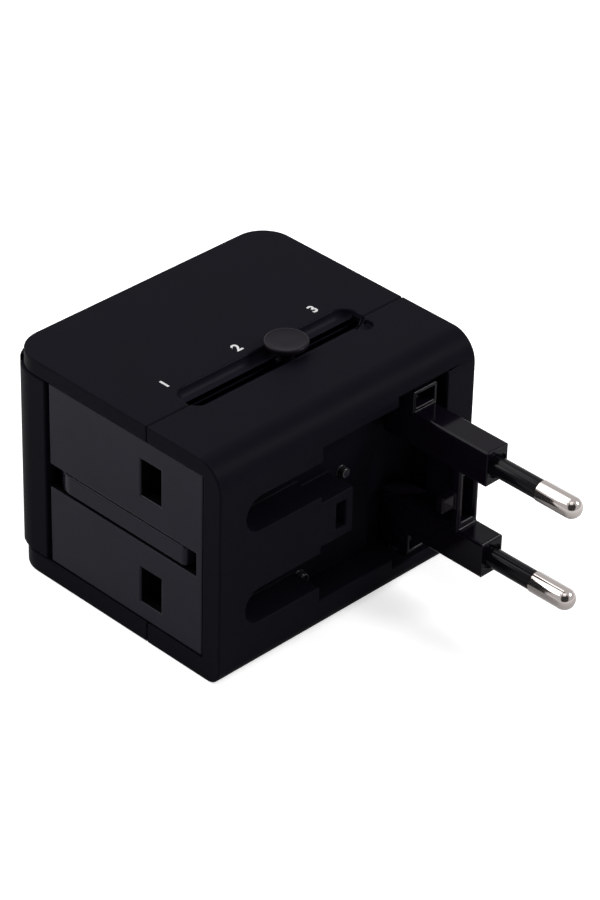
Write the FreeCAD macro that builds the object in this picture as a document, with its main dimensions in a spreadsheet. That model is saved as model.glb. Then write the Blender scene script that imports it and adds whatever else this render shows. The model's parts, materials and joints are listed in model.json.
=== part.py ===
"""Universal travel adapter: a block with four plugs in it.

Frame, in millimetres: +Z is up, and the slider's face is on top.  +X is the face the two
round European pins fold out of, -X is the socket face, -Y is the British face and +Y is the
American and Australian face.  The origin is the middle of the bottom face.
"""
import FreeCAD, Part
import Sketcher
import os
import re

Vector = FreeCAD.Vector
doc = FreeCAD.newDocument("travel_adapter")

# ---------------------------------------------------------------- driving sizes
SIZES = [
    # common to several pieces
    ("join", 0.5, "how far joined blocks run into each other"),
    ("hole_clear", 0.1, "play round a screw, boss or lens"),
    ("round_short", 0.05, "a full round stops this short of the flat"),
    # case
    ("case_depth", 53.0, "case along X, without the proud socket cap"),
    ("case_width", 61.5, "case along Y"),
    ("case_height", 44.8, "case along Z"),
    ("corner_radius", 6.3, "upright corners at the socket end"),
    ("top_roll", 5.5, "upper edge of the plug face"),
    ("bottom_roll", 2.9, "lower edge of the plug face"),
    ("seam_x", 8.4, "where the two shells meet"),
    ("seam_gap", 0.12, "visible joint line of the shells"),
    ("slab_high", 3.2, "thickness of the roof"),
    ("front_wall", 4.2, "thickness of the plug face"),
    ("wall", 2.2, "inner walls of the shells"),
    ("post_start", -21.0, "inner walls behind the side panels"),
    ("post_stop", -10.0, "inner walls behind the side panels"),
    ("thin_wall", 1.4, "walls of pockets"),
    # side panels
    ("panel_left", -16.8, "socket end of a side panel"),
    ("panel_gap", 0.25, "joint round a panel"),
    ("panel_inset", 0.35, "panel face below the case side"),
    ("panel_thick", 2.4, "side panel plate"),
    # socket cap
    ("cap_proud", 1.05, "cap beyond the shell"),
    ("cap_sunk", 1.0, "cap rim let into the shell"),
    ("cap_lip", 0.85, "cap rim above and below its body"),
    ("cap_wall", 2.4, "thickness of the cap"),
    ("cap_edge", -17.4, "end of the cap's side wings"),
    # sockets
    ("socket_drop", 11.0, "line and neutral holes below mid height"),
    ("socket_spread", 9.8, "line and neutral holes from the middle"),
    ("socket_wide", 8.8, "line hole, across"),
    ("socket_high", 4.8, "line hole, up"),
    ("blade_slot", 2.2, "slot for a flat blade, across"),
    ("blade_slot_high", 8.0, "slot for a flat blade, up"),
    ("earth_hole_wide", 4.8, "earth hole, across"),
    ("earth_hole_high", 8.8, "earth hole, up"),
    # British pins
    ("uk_row_x", 9.1, "row of the British pins"),
    ("uk_pitch", 22.23, "British pin spacing"),
    ("uk_wide", 6.35, "British pin, upright"),
    ("uk_thin", 3.97, "British pin, across"),
    ("uk_travel", 21.9, "slider travel to the British end"),
    ("uk_sunk", 4.0, "British pin tips behind the panel face"),
    ("uk_bare", 8.7, "bare metal on a British pin"),
    ("uk_core_step", 0.38, "core below the pin's faces, under the sleeve"),
    ("uk_rooted", 4.0, "pin held in the carriage"),
    ("window_clear", 0.48, "clearance round a pin in its window"),
    ("pin_chamfer", 0.8, "bevel on pin ends"),
    # British earth bar
    ("earth_offset", 22.23, "earth pin from the row of pins"),
    ("earth_wide", 7.92, "earth pin, wide way"),
    ("earth_thick", 3.97, "earth pin, thin way"),
    ("earth_length", 29.0, "pivot to pin end"),
    ("earth_inner", 2.2, "pivot to the pin's inner face when stowed"),
    ("earth_sunk", 0.15, "stowed pin behind the panel face"),
    ("earth_heel_round", 2.0, "inner corner of the heel"),
    ("earth_end_round", 0.95, "corners of the pin's end"),
    ("heel_room", 0.4, "slot round the turning heel"),
    ("earth_pivot_r", 1.0, "pivot wire of the earth pin"),
    ("earth_slot_half", 2.3, "half height of the stowing slot"),
    ("earth_slot_end", 20.2, "far end of the stowing slot"),
    ("earth_slot_room", 3.2, "slot behind the pivot"),
    ("tub_inset", 1.2, "slot walls from the panel's end"),
    # American and Australian blades
    ("us_pitch", 12.7, "blade spacing"),
    ("us_wide", 6.35, "blade, wide way"),
    ("us_thick", 1.5, "blade, thin way"),
    ("us_travel", 15.2, "slider travel to the American end"),
    ("us_sunk", 0.2, "blade ends behind the panel face"),
    ("us_shank_r", 1.9, "turning shank of a blade"),
    ("us_shank_deep", 8.0, "shank in the carriage"),
    ("shank_room", 0.3, "room past the shank's end"),
    ("us_collar_r", 3.1, "collar of a blade"),
    ("us_collar_thick", 1.2, "collar of a blade"),
    ("us_hole_r", 3.7, "round hole for a turning blade"),
    ("turn_clear", 0.05, "running clearance of a pivot"),
    ("slide_clear", 0.3, "clearance of moving pieces"),
    # slider
    ("slot_x", 7.0, "middle of the slider slot"),
    ("slot_wide", 6.7, "slider slot"),
    ("slot_deep", 2.0, "depth of the wide slot"),
    ("slot_round", 3.0, "corners of the slot"),
    ("notch_x", 10.3, "round notch beside the slot's far end"),
    ("notch_in", 2.1, "notch from the slot's far end"),
    ("notch_r", 1.9, "round notch"),
    ("notch_deep", 1.1, "round notch"),
    ("slot_dish", 1.6, "concave foot of the slot's wall"),
    ("slit_x", 6.9, "middle of the through slit and of the knob's tang"),
    ("slit_wide", 1.6, "through slit under the wide slot"),
    ("knob_y", 3.4, "knob at rest"),
    ("knob_r", 4.0, "knob disc"),
    ("knob_thick", 0.9, "knob disc"),
    ("knob_round", 0.35, "rim of the knob"),
    ("knob_lift", 1.05, "knob above the case"),
    ("stem_r", 1.5, "round stem under the knob"),
    ("stem_room", 0.85, "room at the end of the slot"),
    ("stem_gap", 0.5, "stem above the slot's floor"),
    ("tang_wide", 1.1, "flat tang of the knob, across"),
    ("tang_long", 4.2, "flat tang of the knob, along"),
    ("tang_deep", 3.0, "tang in the carriage"),
    ("tang_boss_gap", 0.4, "carriage boss below the roof"),
    ("carriage_low_x", 4.4, "carriage, socket side"),
    ("carriage_high_x", 13.0, "carriage, plug side"),
    ("carrier_wall", 1.2, "plastic round a pin root"),
    ("rail_wide", 7.0, "slide rail"),
    ("rail_groove", 3.3, "groove in the rail"),
    ("rail_high", 2.61, "slide rail, from the floor to the carriage"),
    ("keel_deep", 1.2, "keel under the carriage"),
    # European plug
    ("euro_pitch", 19.0, "round pin spacing"),
    ("euro_r", 2.0, "round pin"),
    ("euro_core_r", 1.6, "pin under its sleeve"),
    ("euro_sleeve_r", 1.84, "sleeve"),
    ("sleeve_seat", 0.6, "shallow ring round a sleeve in the arm's end"),
    ("sleeve_room", 0.5, "shallow ring round a sleeve in the arm's end"),
    ("euro_reach", 19.0, "pin beyond its arm"),
    ("euro_bare", 8.8, "bare pin end"),
    ("euro_dome", 1.9, "rounding of a pin end"),
    ("euro_rooted", 5.0, "pin held in its arm"),
    ("hinge_in", 4.5, "fold hinge from the plug face"),
    ("hinge_y", 17.0, "fold axis"),
    ("hinge_r", 1.2, "fold pin"),
    ("hinge_seat", 2.0, "fold pin in the shell"),
    ("fold_gap", 0.4, "fold pin's end from the arm"),
    ("arm_offset", 1.2, "arms to the side of the fold axis"),
    ("arm_wide", 5.2, "arm, across"),
    ("arm_high", 7.0, "arm, up"),
    ("arm_reach", 21.7, "fold axis to arm end"),
    ("arm_heel", 3.0, "arm behind the fold axis"),
    ("knuckle_reach", 4.2, "knuckle in front of the fold axis"),
    ("knuckle_extra", 0.6, "knuckle wider than its arm on the far side"),
    ("knuckle_hollow", 0.7, "rim round the knuckle's hollow"),
    ("knuckle_floor", 0.6, "knuckle's hollow from the arm"),
    ("knuckle_gap", 0.9, "knuckle's end from the pocket wall"),
    ("bridge_reach", 15.7, "fold axis to the bridge's face"),
    ("bridge_thick", 1.6, "bridge plate"),
    ("bridge_rim", 1.2, "rim round the bridge's window"),
    ("bridge_web", 1.4, "web behind the bridge"),
    ("web_step", 0.2, "web behind the bridge's face"),
    ("latch_reach", 3.2, "latch beyond the bridge"),
    ("latch_back", 0.7, "latch behind the bridge's face"),
    ("latch_thick", 1.8, "latch"),
    ("latch_half", 1.6, "half height of the latch"),
    # recess of the European plug
    ("recess_clear", 0.4, "room behind the folded plug"),
    ("recess_half", 16.0, "half height of the recess"),
    ("recess_step", -6.6, "where the recess narrows to two slots"),
    ("pin_slot_half", 3.55, "half height of a pin slot"),
    ("pin_slot_end", 0.85, "room past the folded pin ends"),
    ("tongue_half", 4.6, "half height of the tongue"),
    ("tongue_end", 1.0, "end of the tongue"),
    ("tongue_window_wide", 2.3, "window in the tongue"),
    ("tongue_window_high", 5.4, "window in the tongue"),
    ("tongue_window_in", 1.7, "window from the tongue's end"),
    ("tongue_window_deep", 4.5, "depth of that window"),
    ("pocket_half", 18.0, "half height of the hinge pocket"),
    ("pocket_start", 11.6, "hinge pocket, near end"),
    ("pocket_end", 23.8, "hinge pocket, far end"),
    ("pocket_deep", 8.3, "hinge pocket behind the face"),
    ("face_skin", 0.6, "pocket walls stop short of the plug face"),
    ("latch_before", 0.5, "room before the folded latch"),
    ("latch_after", 1.4, "room after the folded latch"),
    ("latch_room", 0.4, "room above and below the folded latch"),
    ("catch_high", 1.4, "snap studs on the recess floor"),
    ("arm_catch_r", 1.4, "hollow stud below the lower arm"),
    ("arm_catch_hole", 0.8, "hollow of that stud"),
    ("arm_catch_y", 1.0, "stud from the recess step"),
    ("arm_catch_z", 1.2, "stud above the channel's lower wall"),
    ("web_catch_r", 0.95, "stud by the latch"),
    ("web_catch_y", 1.35, "stud from the folded bridge"),
    ("web_catch_z", 3.3, "stud above mid height"),
    # inside
    ("frame_x", 1.2, "inner frame plate, socket side"),
    ("frame_thick", 1.8, "inner frame plate"),
    ("bus_thick", 0.4, "bus strip"),
    ("bus_high", 4.2, "bus strip"),
    ("bus_half", 22.5, "half length of a bus strip"),
    ("strip_thick", 0.5, "contact strip"),
    ("leaf_long", 20.5, "contact leaf"),
    ("leaf_wide", 6.6, "contact leaf"),
    ("leaf_gap", 4.9, "between the leaves"),
    ("rivet_r", 1.0, "rivet"),
    ("wiper_long", 9.0, "wiper on the carriage"),
    ("wiper_thick", 0.3, "wiper strip"),
    ("wiper_wide", 2.9, "wiper strip"),
    ("wiper_foot", 1.2, "wiper's foot on the carriage"),
    ("wiper_turn", 0.3, "inside of the wiper's bend"),
    ("fuse_r", 3.15, "fuse"),
    ("fuse_long", 25.4, "fuse"),
    ("fuse_cap_long", 6.0, "fuse end cap"),
    ("fuse_cap_step", 0.15, "fuse tube below its caps"),
    ("clip_long", 4.0, "fuse clip, along the fuse"),
    ("clip_in", 1.0, "fuse clip from the fuse's end"),
    ("clip_reach", 1.9, "fuse clip past the fuse's middle"),
    ("clip_clear", 0.05, "play between clip and fuse"),
    ("fuse_lift", 1.4, "fuse off the inner frame"),
    ("lamp_side", 11.75, "indicator from the British side"),
    ("lamp_rise", 13.6, "indicator above mid height"),
    ("lens_r", 1.9, "indicator lens"),
    ("lens_proud", 0.15, "lens beyond the cap"),
    ("lens_flange", 0.8, "flange of the lens behind the cap"),
    ("lamp_r", 1.5, "indicator lamp"),
    ("lamp_long", 5.0, "indicator lamp"),
    ("screw_y", 24.5, "case screws from the middle"),
    ("screw_in", 3.0, "case screws from the floor and roof"),
    ("screw_r", 1.0, "screw thread"),
    ("screw_head_r", 1.8, "screw head"),
    ("screw_head", 1.5, "screw head"),
    ("screw_long", 14.0, "screw shank"),
    ("screw_before", 9.0, "screw shank before the seam"),
    ("boss_r", 2.2, "screw boss"),
    ("boss_past", 1.5, "boss past the screw's end"),
    ("screw_room", 0.4, "hole past the screw's end"),
    ("head_clear", 0.15, "play round a screw head"),
]

# places worked out from the driving sizes
DERIVED = {
    "half_w": "case_width / 2",
    "half_d": "case_depth / 2",
    "mid_z": "case_height / 2",
    "bay_high": "case_height - slab_high",
    "bay_end": "half_d - front_wall",
    "panel_out": "half_w - panel_inset",
    "panel_in": "panel_out - panel_thick",
    "post_in": "panel_in - wall",
    "cap_face": "-half_d - cap_proud",
    "cap_back": "cap_face + cap_wall",
    "socket_z": "mid_z - socket_drop",
    "earth_z": "socket_z + uk_pitch",
    "uk_up": "mid_z + uk_pitch / 2",
    "uk_down": "mid_z - uk_pitch / 2",
    "uk_tip": "-panel_out + uk_sunk",
    "uk_seat": "-panel_in + uk_travel + slide_clear",
    "earth_out_x": "uk_row_x - earth_offset",
    "earth_x": "earth_out_x + earth_wide / 2 - earth_inner",
    "earth_y": "-panel_out + earth_sunk + earth_wide - earth_inner",
    "earth_back": "earth_y + earth_slot_room",
    "earth_heel": "earth_wide - earth_inner",
    "heel_back": "earth_y + earth_heel + heel_room",
    "heel_far": "earth_x + earth_inner + heel_room",
    "tub_back": "earth_back + thin_wall",
    "core_front": "tub_back + uk_travel + slide_clear",
    "core_back": "panel_in - us_travel - slide_clear",
    "us_tip": "panel_out - us_sunk",
    "us_up": "mid_z + us_pitch / 2",
    "us_down": "mid_z - us_pitch / 2",
    "carriage_low_z": "uk_down - uk_wide / 2 - carrier_wall",
    "bay_low": "carriage_low_z - slide_clear - rail_high",
    "keel_low": "carriage_low_z - keel_deep",
    "carriage_high_z": "uk_up + uk_wide / 2 + carrier_wall",
    "slot_low_end": "knob_y - uk_travel - stem_r - stem_room",
    "slot_high_end": "knob_y + us_travel + stem_r + stem_room",
    "hinge_x": "half_d - hinge_in",
    "tang_top": "case_height - slot_deep + stem_gap + join",
    "euro_y": "hinge_y + arm_offset",
    "euro_up": "mid_z + euro_pitch / 2",
    "euro_down": "mid_z - euro_pitch / 2",
    "arm_end": "hinge_x + arm_reach",
    "euro_tip": "arm_end + euro_reach",
    "euro_shoulder": "euro_tip - euro_bare",
    "arm_near": "euro_y - arm_wide / 2",
    "arm_far": "euro_y + arm_wide / 2",
    "bridge_x": "hinge_x + bridge_reach",
    "recess_x": "hinge_x + arm_offset - arm_wide / 2 - recess_clear",
    "pin_slot_y": "hinge_y - (euro_tip - hinge_x) - pin_slot_end",
    "arm_fold_y": "hinge_y - (bridge_reach - bridge_thick)",
    "pocket_x": "half_d - pocket_deep",
    "lamp_y": "lamp_side - half_w",
    "rail_half": "screw_y - boss_r - slide_clear",
    "frame_far": "frame_x + frame_thick",
    "clip_far": "fuse_long / 2 - clip_in",
    "clip_near": "clip_far - clip_long",
    "fuse_x": "frame_x - fuse_lift - fuse_r",
    "line_bus_z": "uk_up",
    "neutral_bus_z": "socket_z",
}

sheet = doc.addObject("Spreadsheet::Sheet", "Sizes")
for row, (alias, value, note) in enumerate(SIZES, 1):
    sheet.set(f"A{row}", alias)
    sheet.set(f"B{row}", str(value))
    sheet.set(f"C{row}", note)
    sheet.setAlias(f"B{row}", alias)
doc.recompute()
ALIASES = {alias for alias, value, note in SIZES}


def full(text):
    """Write out derived places until only the sheet's own names are left."""
    def swap(match):
        word = match.group(0)
        if word in DERIVED:
            return f"({full(DERIVED[word])})"
        if word in ALIASES:
            return f"Sizes.{word}"
        raise NameError(f"no size is called {word}")
    return re.sub(r"[A-Za-z_][A-Za-z_0-9]*", swap, str(text))


def size(alias):
    """A driving size as a number, for features that take no expression."""
    return float(sheet.get(alias))


# ---------------------------------------------------------------- building blocks
def bind(thing, prop, text):
    thing.setExpression(prop, full(text))


def fresh(kind, name):
    return doc.addObject(kind, name)


def box(name, x, y, z):
    """A block between two places along each axis."""
    block = fresh("Part::Box", name)
    for side, way, (low, high) in zip(("Length", "Width", "Height"), "xyz", (x, y, z)):
        bind(block, side, f"({high}) - ({low})")
        bind(block, f"Placement.Base.{way}", low)
    return block


TURNS = {
    "x": FreeCAD.Rotation(Vector(0, 1, 0), 90),
    "y": FreeCAD.Rotation(Vector(1, 0, 0), -90),
    "z": FreeCAD.Rotation(),
}


def place(thing, at, way="z"):
    """Turn a primitive from +Z to an axis and bind its base point."""
    thing.Placement = FreeCAD.Placement(Vector(), TURNS[way])
    for axis, text in zip("xyz", at):
        bind(thing, f"Placement.Base.{axis}", text)
    return thing


def rod(name, at, way, length, radius):
    """A round bar from a base point along one axis."""
    bar = fresh("Part::Cylinder", name)
    bind(bar, "Radius", radius)
    bind(bar, "Height", length)
    return place(bar, at, way)


def fuse(name, *parts):
    joined = fresh("Part::MultiFuse", name)
    joined.Shapes = list(parts)
    joined.Refine = True
    return joined


def cut(name, base, *tools):
    carved = fresh("Part::Cut", name)
    carved.Base = base
    carved.Tool = tools[0] if len(tools) == 1 else fuse(name + "_tools", *tools)
    carved.Refine = True
    return carved


def common(name, base, tool):
    shared = fresh("Part::Common", name)
    shared.Base = base
    shared.Tool = tool
    return shared


def edges_where(shape, test):
    """Numbers of the edges whose ends and middle pass a test."""
    found = []
    for number, edge in enumerate(shape.Edges, 1):
        middle = edge.valueAt((edge.FirstParameter + edge.LastParameter) / 2)
        start = edge.valueAt(edge.FirstParameter)
        stop = edge.valueAt(edge.LastParameter)
        if test(start, middle, stop):
            found.append(number)
    return found


def rounded(name, base, choices):
    """Fillet edges: choices is a list of (test, radius)."""
    doc.recompute()
    fillet = fresh("Part::Fillet", name)
    fillet.Base = base
    picked = []
    for test, radius in choices:
        picked += [(number, radius, radius) for number in edges_where(base.Shape, test)]
    fillet.Edges = picked
    return fillet


def bevelled(name, base, test, width):
    """Chamfer the edges that pass a test."""
    doc.recompute()
    chamfer = fresh("Part::Chamfer", name)
    chamfer.Base = base
    chamfer.Edges = [(number, width, width) for number in edges_where(base.Shape, test)]
    return chamfer


def along(way, **limits):
    """A test for straight edges along one axis that lie at given places."""
    def test(start, middle, stop):
        span = [abs(start.x - stop.x), abs(start.y - stop.y), abs(start.z - stop.z)]
        run = span.pop("xyz".index(way))
        if run < 1e-6 or max(span) > 1e-6:
            return False
        return all(abs(getattr(middle, axis) - at) < 1e-4 for axis, at in limits.items())
    return test


def at_place(**limits):
    """A test for edges that lie wholly at given places."""
    def test(start, middle, stop):
        return all(abs(getattr(point, axis) - at) < 1e-4
                   for axis, at in limits.items() for point in (start, middle, stop))
    return test


def number(text):
    """A place as a number, for picking edges."""
    probe = re.sub(r"Sizes\.([A-Za-z_0-9]+)", lambda found: repr(size(found.group(1))), full(text))
    return FreeCAD.Units.Quantity(probe).Value


def both(sign, low, high):
    """A span on the + or - side of the middle plane."""
    return (low, high) if sign > 0 else (f"-({high})", f"-({low})")


NODES = []


def node(label, thing):
    """Keep a finished sub-part under the name it is stored by."""
    thing.Label = label
    NODES.append(thing)
    return thing


def sketched(label, role, corners, depth, offset):
    """A PartDesign body: a closed outline of bound corners, padded from an origin plane."""
    body = doc.addObject("PartDesign::Body", label + "_body")
    sketch = body.newObject("Sketcher::SketchObject", label + "_outline")
    plane = next(item for item in body.Origin.OriginFeatures if item.Role == role)
    sketch.AttachmentSupport = [(plane, "")]
    sketch.MapMode = "FlatFace"
    points = [Vector(number(u), number(v), 0) for u, v in corners]
    count = len(points)
    for index in range(count):
        sketch.addGeometry(Part.LineSegment(points[index], points[(index + 1) % count]), False)
    for index in range(count):
        sketch.addConstraint(Sketcher.Constraint("Coincident", index, 2, (index + 1) % count, 1))
    for index, (u, v) in enumerate(corners):
        for kind, text in (("DistanceX", u), ("DistanceY", v)):
            row = sketch.addConstraint(Sketcher.Constraint(kind, -1, 1, index, 1, number(text)))
            sketch.setExpression(f"Constraints[{row}]", full(text))
    sketch.setExpression(".AttachmentOffset.Base.z", full(offset))
    pad = body.newObject("PartDesign::Pad", label + "_pad")
    pad.Profile = sketch
    pad.setExpression("Length", full(depth))
    body.Tip = pad
    return body


# ---------------------------------------------------------------- shells
def socket_shell():
    """Roof and floor of the socket half, joined by two walls behind the side panels."""
    block = box("socket_block", ("-half_d", "seam_x"), ("-half_w", "half_w"), ("0", "case_height"))
    outer = rounded("socket_outer", block,
                    [(along("z", x=-number("half_d")), size("corner_radius"))])
    bay = box("socket_bay", ("-half_d - 1", "seam_x + 1"), ("-half_w - 1", "half_w + 1"),
              ("bay_low", "bay_high"))
    rebate = box("cap_rebate", ("-half_d - 1", "cap_sunk + panel_gap / 2 - half_d"),
                 ("-half_w - 1", "half_w + 1"),
                 ("bay_low - cap_lip - panel_gap / 2", "bay_high + cap_lip + panel_gap / 2"))
    open_shell = cut("socket_open", outer, bay, rebate)
    posts = [box(f"post_{tag}", ("post_start", "post_stop"),
                 both(sign, "post_in", "panel_in"), ("bay_low", "bay_high"))
             for sign, tag in ((-1, "uk"), (1, "us"))]
    bosses = [rod(f"socket_boss_{up}{side}", ("post_start", y, z), "x",
                  "seam_x - post_start", "boss_r")
              for up, z in SCREW_HEIGHTS for side, y in SCREW_SIDES]
    solid = fuse("socket_solid", open_shell, *posts, *bosses)
    tools = [box("earth_passage", ("-half_d", "0"), ("-half_w - 1", "1 - post_in"),
                 ("mid_z - earth_slot_half - thin_wall - slide_clear",
                  "mid_z + earth_slot_half + thin_wall + slide_clear")),
             slot_tool("socket_slot"), slit_tool("socket_slit")]
    tools += screw_tools("socket")
    return node("socket_shell", cut("socket_shell_cut", solid, *tools))


SCREW_HEIGHTS = (("low", "screw_in"), ("high", "case_height - screw_in"))
SCREW_SIDES = (("uk", "-screw_y"), ("us", "screw_y"))


def screw_tools(tag):
    """Clearance, head and thread holes of the four case screws."""
    tools = []
    for up, z in SCREW_HEIGHTS:
        for side, y in SCREW_SIDES:
            key = f"{tag}_{up}{side}"
            if tag == "socket":
                tools.append(rod(f"head_way_{key}", ("-half_d - 1", y, z), "x",
                                 "half_d + 1 + seam_x - screw_before", "screw_head_r + head_clear"))
                tools.append(rod(f"shank_way_{key}", ("seam_x - screw_before - 1", y, z), "x",
                                 "screw_before + 2", "screw_r + hole_clear"))
            else:
                tools.append(rod(f"thread_{key}", ("seam_x", y, z), "x",
                                 "screw_long - screw_before + screw_room", "screw_r"))
    return tools


def slot_tool(name):
    """The wide shallow slot in the roof, with rounded corners and a dished foot."""
    block = box(name + "_block", ("slot_x - slot_wide / 2", "slot_x + slot_wide / 2"),
                ("slot_low_end", "slot_high_end"), ("case_height - slot_deep", "case_height + 1"))
    plan = rounded(name + "_plan", block, [(along("z"), size("slot_round"))])
    return rounded(name, plan, [(at_place(z=number("case_height - slot_deep")), size("slot_dish"))])


def slit_tool(name):
    """The narrow slit that lets the knob's tang through the roof."""
    return box(name, ("slit_x - slit_wide / 2", "slit_x + slit_wide / 2"),
               ("knob_y - uk_travel - tang_long / 2 - slide_clear",
                "knob_y + us_travel + tang_long / 2 + slide_clear"),
               ("bay_high - 1", "tang_top"))


def plug_shell():
    """Roof, floor and front of the plug half, with the recess that the folded plug lies in."""
    block = box("plug_block", ("seam_x + seam_gap", "half_d"), ("-half_w", "half_w"),
                ("0", "case_height"))
    face = number("half_d")
    outer = rounded("plug_outer", block,
                    [(along("y", x=face, z=size("case_height")), size("top_roll")),
                     (along("y", x=face, z=0), size("bottom_roll"))])
    bay = box("plug_bay", ("seam_x - 1", "bay_end"), ("-half_w - 1", "half_w + 1"),
              ("bay_low", "bay_high"))
    hollow = cut("plug_hollow", outer, bay)
    walls = [box("recess_walls", ("recess_x - thin_wall", "half_d - face_skin"),
                 ("recess_step - thin_wall", "pocket_end + thin_wall"),
                 ("mid_z - recess_half - thin_wall", "mid_z + recess_half + thin_wall")),
             box("pocket_walls", ("pocket_x - thin_wall", "half_d - front_wall / 2"),
                 ("pocket_start - thin_wall", "pocket_end + thin_wall"),
                 ("bay_low / 2", "case_height - slab_high / 2")),
             box("latch_walls", ("recess_x - latch_reach - thin_wall", "recess_x"),
                 ("tongue_end - latch_before - thin_wall",
                  "tongue_end + latch_thick + latch_after + thin_wall"),
                 ("mid_z - latch_half - latch_room - thin_wall",
                  "mid_z + latch_half + latch_room + thin_wall"))]
    for tag, z in (("up", "euro_up"), ("down", "euro_down")):
        walls.append(box(f"pin_slot_walls_{tag}", ("recess_x - thin_wall", "half_d - face_skin"),
                         ("pin_slot_y - thin_wall", "recess_step"),
                         (f"{z} - pin_slot_half - thin_wall", f"{z} + pin_slot_half + thin_wall")))
    walls += [rod(f"plug_boss_{up}{side}", ("seam_x + seam_gap", y, z), "x",
                  "screw_long - screw_before + boss_past", "boss_r")
              for up, z in SCREW_HEIGHTS for side, y in SCREW_SIDES]
    solid = fuse("plug_solid", hollow, *walls)
    notch = rod("slot_notch", ("notch_x", "slot_high_end - notch_in", "case_height - notch_deep"), "z",
                "notch_deep + 1", "notch_r")
    tools = [slot_tool("plug_slot"), notch] + recess_tools() + screw_tools("plug")
    carved = cut("plug_shell_cut", solid, *tools)
    return node("plug_shell", fuse("plug_shell_whole", carved, *recess_catches()))


def recess_catches():
    """Two small snap studs on the recess floor: one below the lower arm, one by the latch."""
    low = ("recess_x - join", "recess_step + arm_catch_y", "mid_z - recess_half + arm_catch_z")
    mouth = ("recess_x + catch_high / 2", "recess_step + arm_catch_y",
             "mid_z - recess_half + arm_catch_z")
    stud = rod("arm_catch_stud", low, "x", "join + catch_high", "arm_catch_r")
    hollow = rod("arm_catch_hollow", mouth, "x", "catch_high", "arm_catch_hole")
    return [cut("arm_catch", stud, hollow),
            rod("web_catch", ("recess_x - join", "arm_fold_y + web_catch_y", "mid_z + web_catch_z"),
                "x", "join + catch_high", "web_catch_r")]


def recess_tools():
    """Two pin slots, two channels for the arms, the open bay and the hinge pocket."""
    tools = []
    for tag, z in (("up", "euro_up"), ("down", "euro_down")):
        slot = box(f"pin_slot_{tag}_block", ("recess_x", "half_d + 1"),
                   ("pin_slot_y", "recess_step + 1"), (f"{z} - pin_slot_half", f"{z} + pin_slot_half"))
        end = number("pin_slot_y")
        tools.append(rounded(f"pin_slot_{tag}", slot,
                             [(along("x", y=end), size("pin_slot_half") - size("round_short"))]))
        tools.append(rod(f"fold_seat_{tag}", ("hinge_x", "hinge_y",
                         "mid_z + pocket_half - join" if tag == "up"
                         else "mid_z - pocket_half - hinge_seat"), "z",
                         "hinge_seat + join", "hinge_r"))
    tools.append(box("arm_channel_up", ("recess_x", "half_d + 1"), ("recess_step", "pocket_end"),
                     ("mid_z + tongue_half", "mid_z + recess_half")))
    tools.append(box("arm_channel_down", ("recess_x", "half_d + 1"), ("recess_step", "pocket_end"),
                     ("mid_z - recess_half", "mid_z - tongue_half")))
    tools.append(box("recess_bay", ("recess_x", "half_d + 1"), ("tongue_end", "pocket_end"),
                     ("mid_z - recess_half", "mid_z + recess_half")))
    tools.append(box("hinge_pocket", ("pocket_x", "half_d + 1"), ("pocket_start", "pocket_end"),
                     ("mid_z - pocket_half", "mid_z + pocket_half")))
    tools.append(box("latch_hole", ("recess_x - latch_reach", "half_d - front_wall"),
                     ("tongue_end - latch_before", "tongue_end + latch_thick + latch_after"),
                     ("mid_z - latch_half - latch_room", "mid_z + latch_half + latch_room")))
    tools.append(box("tongue_window", ("half_d - tongue_window_deep", "half_d + 1"),
                     ("tongue_end - tongue_window_in - tongue_window_wide",
                      "tongue_end - tongue_window_in"),
                     ("mid_z - tongue_window_high / 2", "mid_z + tongue_window_high / 2")))
    return tools


# ---------------------------------------------------------------- socket cap and panels
def socket_cap():
    """The cap with the universal sockets; its wings wrap round both upright corners."""
    def plan(name, low, high, inset, radius):
        block = box(name + "_block", (f"cap_face + {inset}", "cap_edge + 6"),
                    (f"-half_w + {inset}", f"half_w - {inset}"), (low, high))
        return rounded(name, block, [(along("z", x=number(f"cap_face + {inset}")), radius)])
    body = plan("cap_body", "bay_low + panel_gap", "bay_high - panel_gap", "0",
                size("corner_radius"))
    rim_plan = plan("cap_rim_plan", "bay_low - cap_lip", "bay_high + cap_lip", "0",
                    size("corner_radius"))
    rim = common("cap_rim", rim_plan,
                 box("cap_rim_reach", ("cap_face - 1", "cap_sunk - half_d"),
                     ("-half_w - 1", "half_w + 1"), ("0", "case_height")))
    inside = plan("cap_inside", "-1", "case_height + 1", "cap_wall",
                  size("corner_radius") - size("cap_wall"))
    tail = box("cap_tail", ("cap_edge", "cap_edge + 7"), ("-half_w - 1", "half_w + 1"),
               ("-1", "case_height + 1"))
    solid = fuse("cap_solid", body, rim)
    holes = [box("earth_hole", ("cap_face - 1", "cap_back + 1"),
                 ("-earth_hole_wide / 2", "earth_hole_wide / 2"),
                 ("earth_z - earth_hole_high / 2", "earth_z + earth_hole_high / 2")),
             rod("lens_hole", ("cap_face - 1", "lamp_y", "mid_z + lamp_rise"), "x",
                 "cap_wall + 3", "lens_r + hole_clear")]
    for sign, tag in ((1, "line"), (-1, "neutral")):
        holes.append(box(f"pin_hole_{tag}", ("cap_face - 1", "cap_back + 1"),
                         both(sign, "socket_spread - socket_wide / 2",
                              "socket_spread + socket_wide / 2"),
                         ("socket_z - socket_high / 2", "socket_z + socket_high / 2")))
        holes.append(box(f"blade_hole_{tag}", ("cap_face - 1", "cap_back + 1"),
                         both(sign, "us_pitch / 2 - blade_slot / 2", "us_pitch / 2 + blade_slot / 2"),
                         ("socket_z - blade_slot_high / 2", "socket_z + blade_slot_high / 2")))
    return node("socket_cap", cut("socket_cap_cut", solid, inside, tail, *holes))


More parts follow.
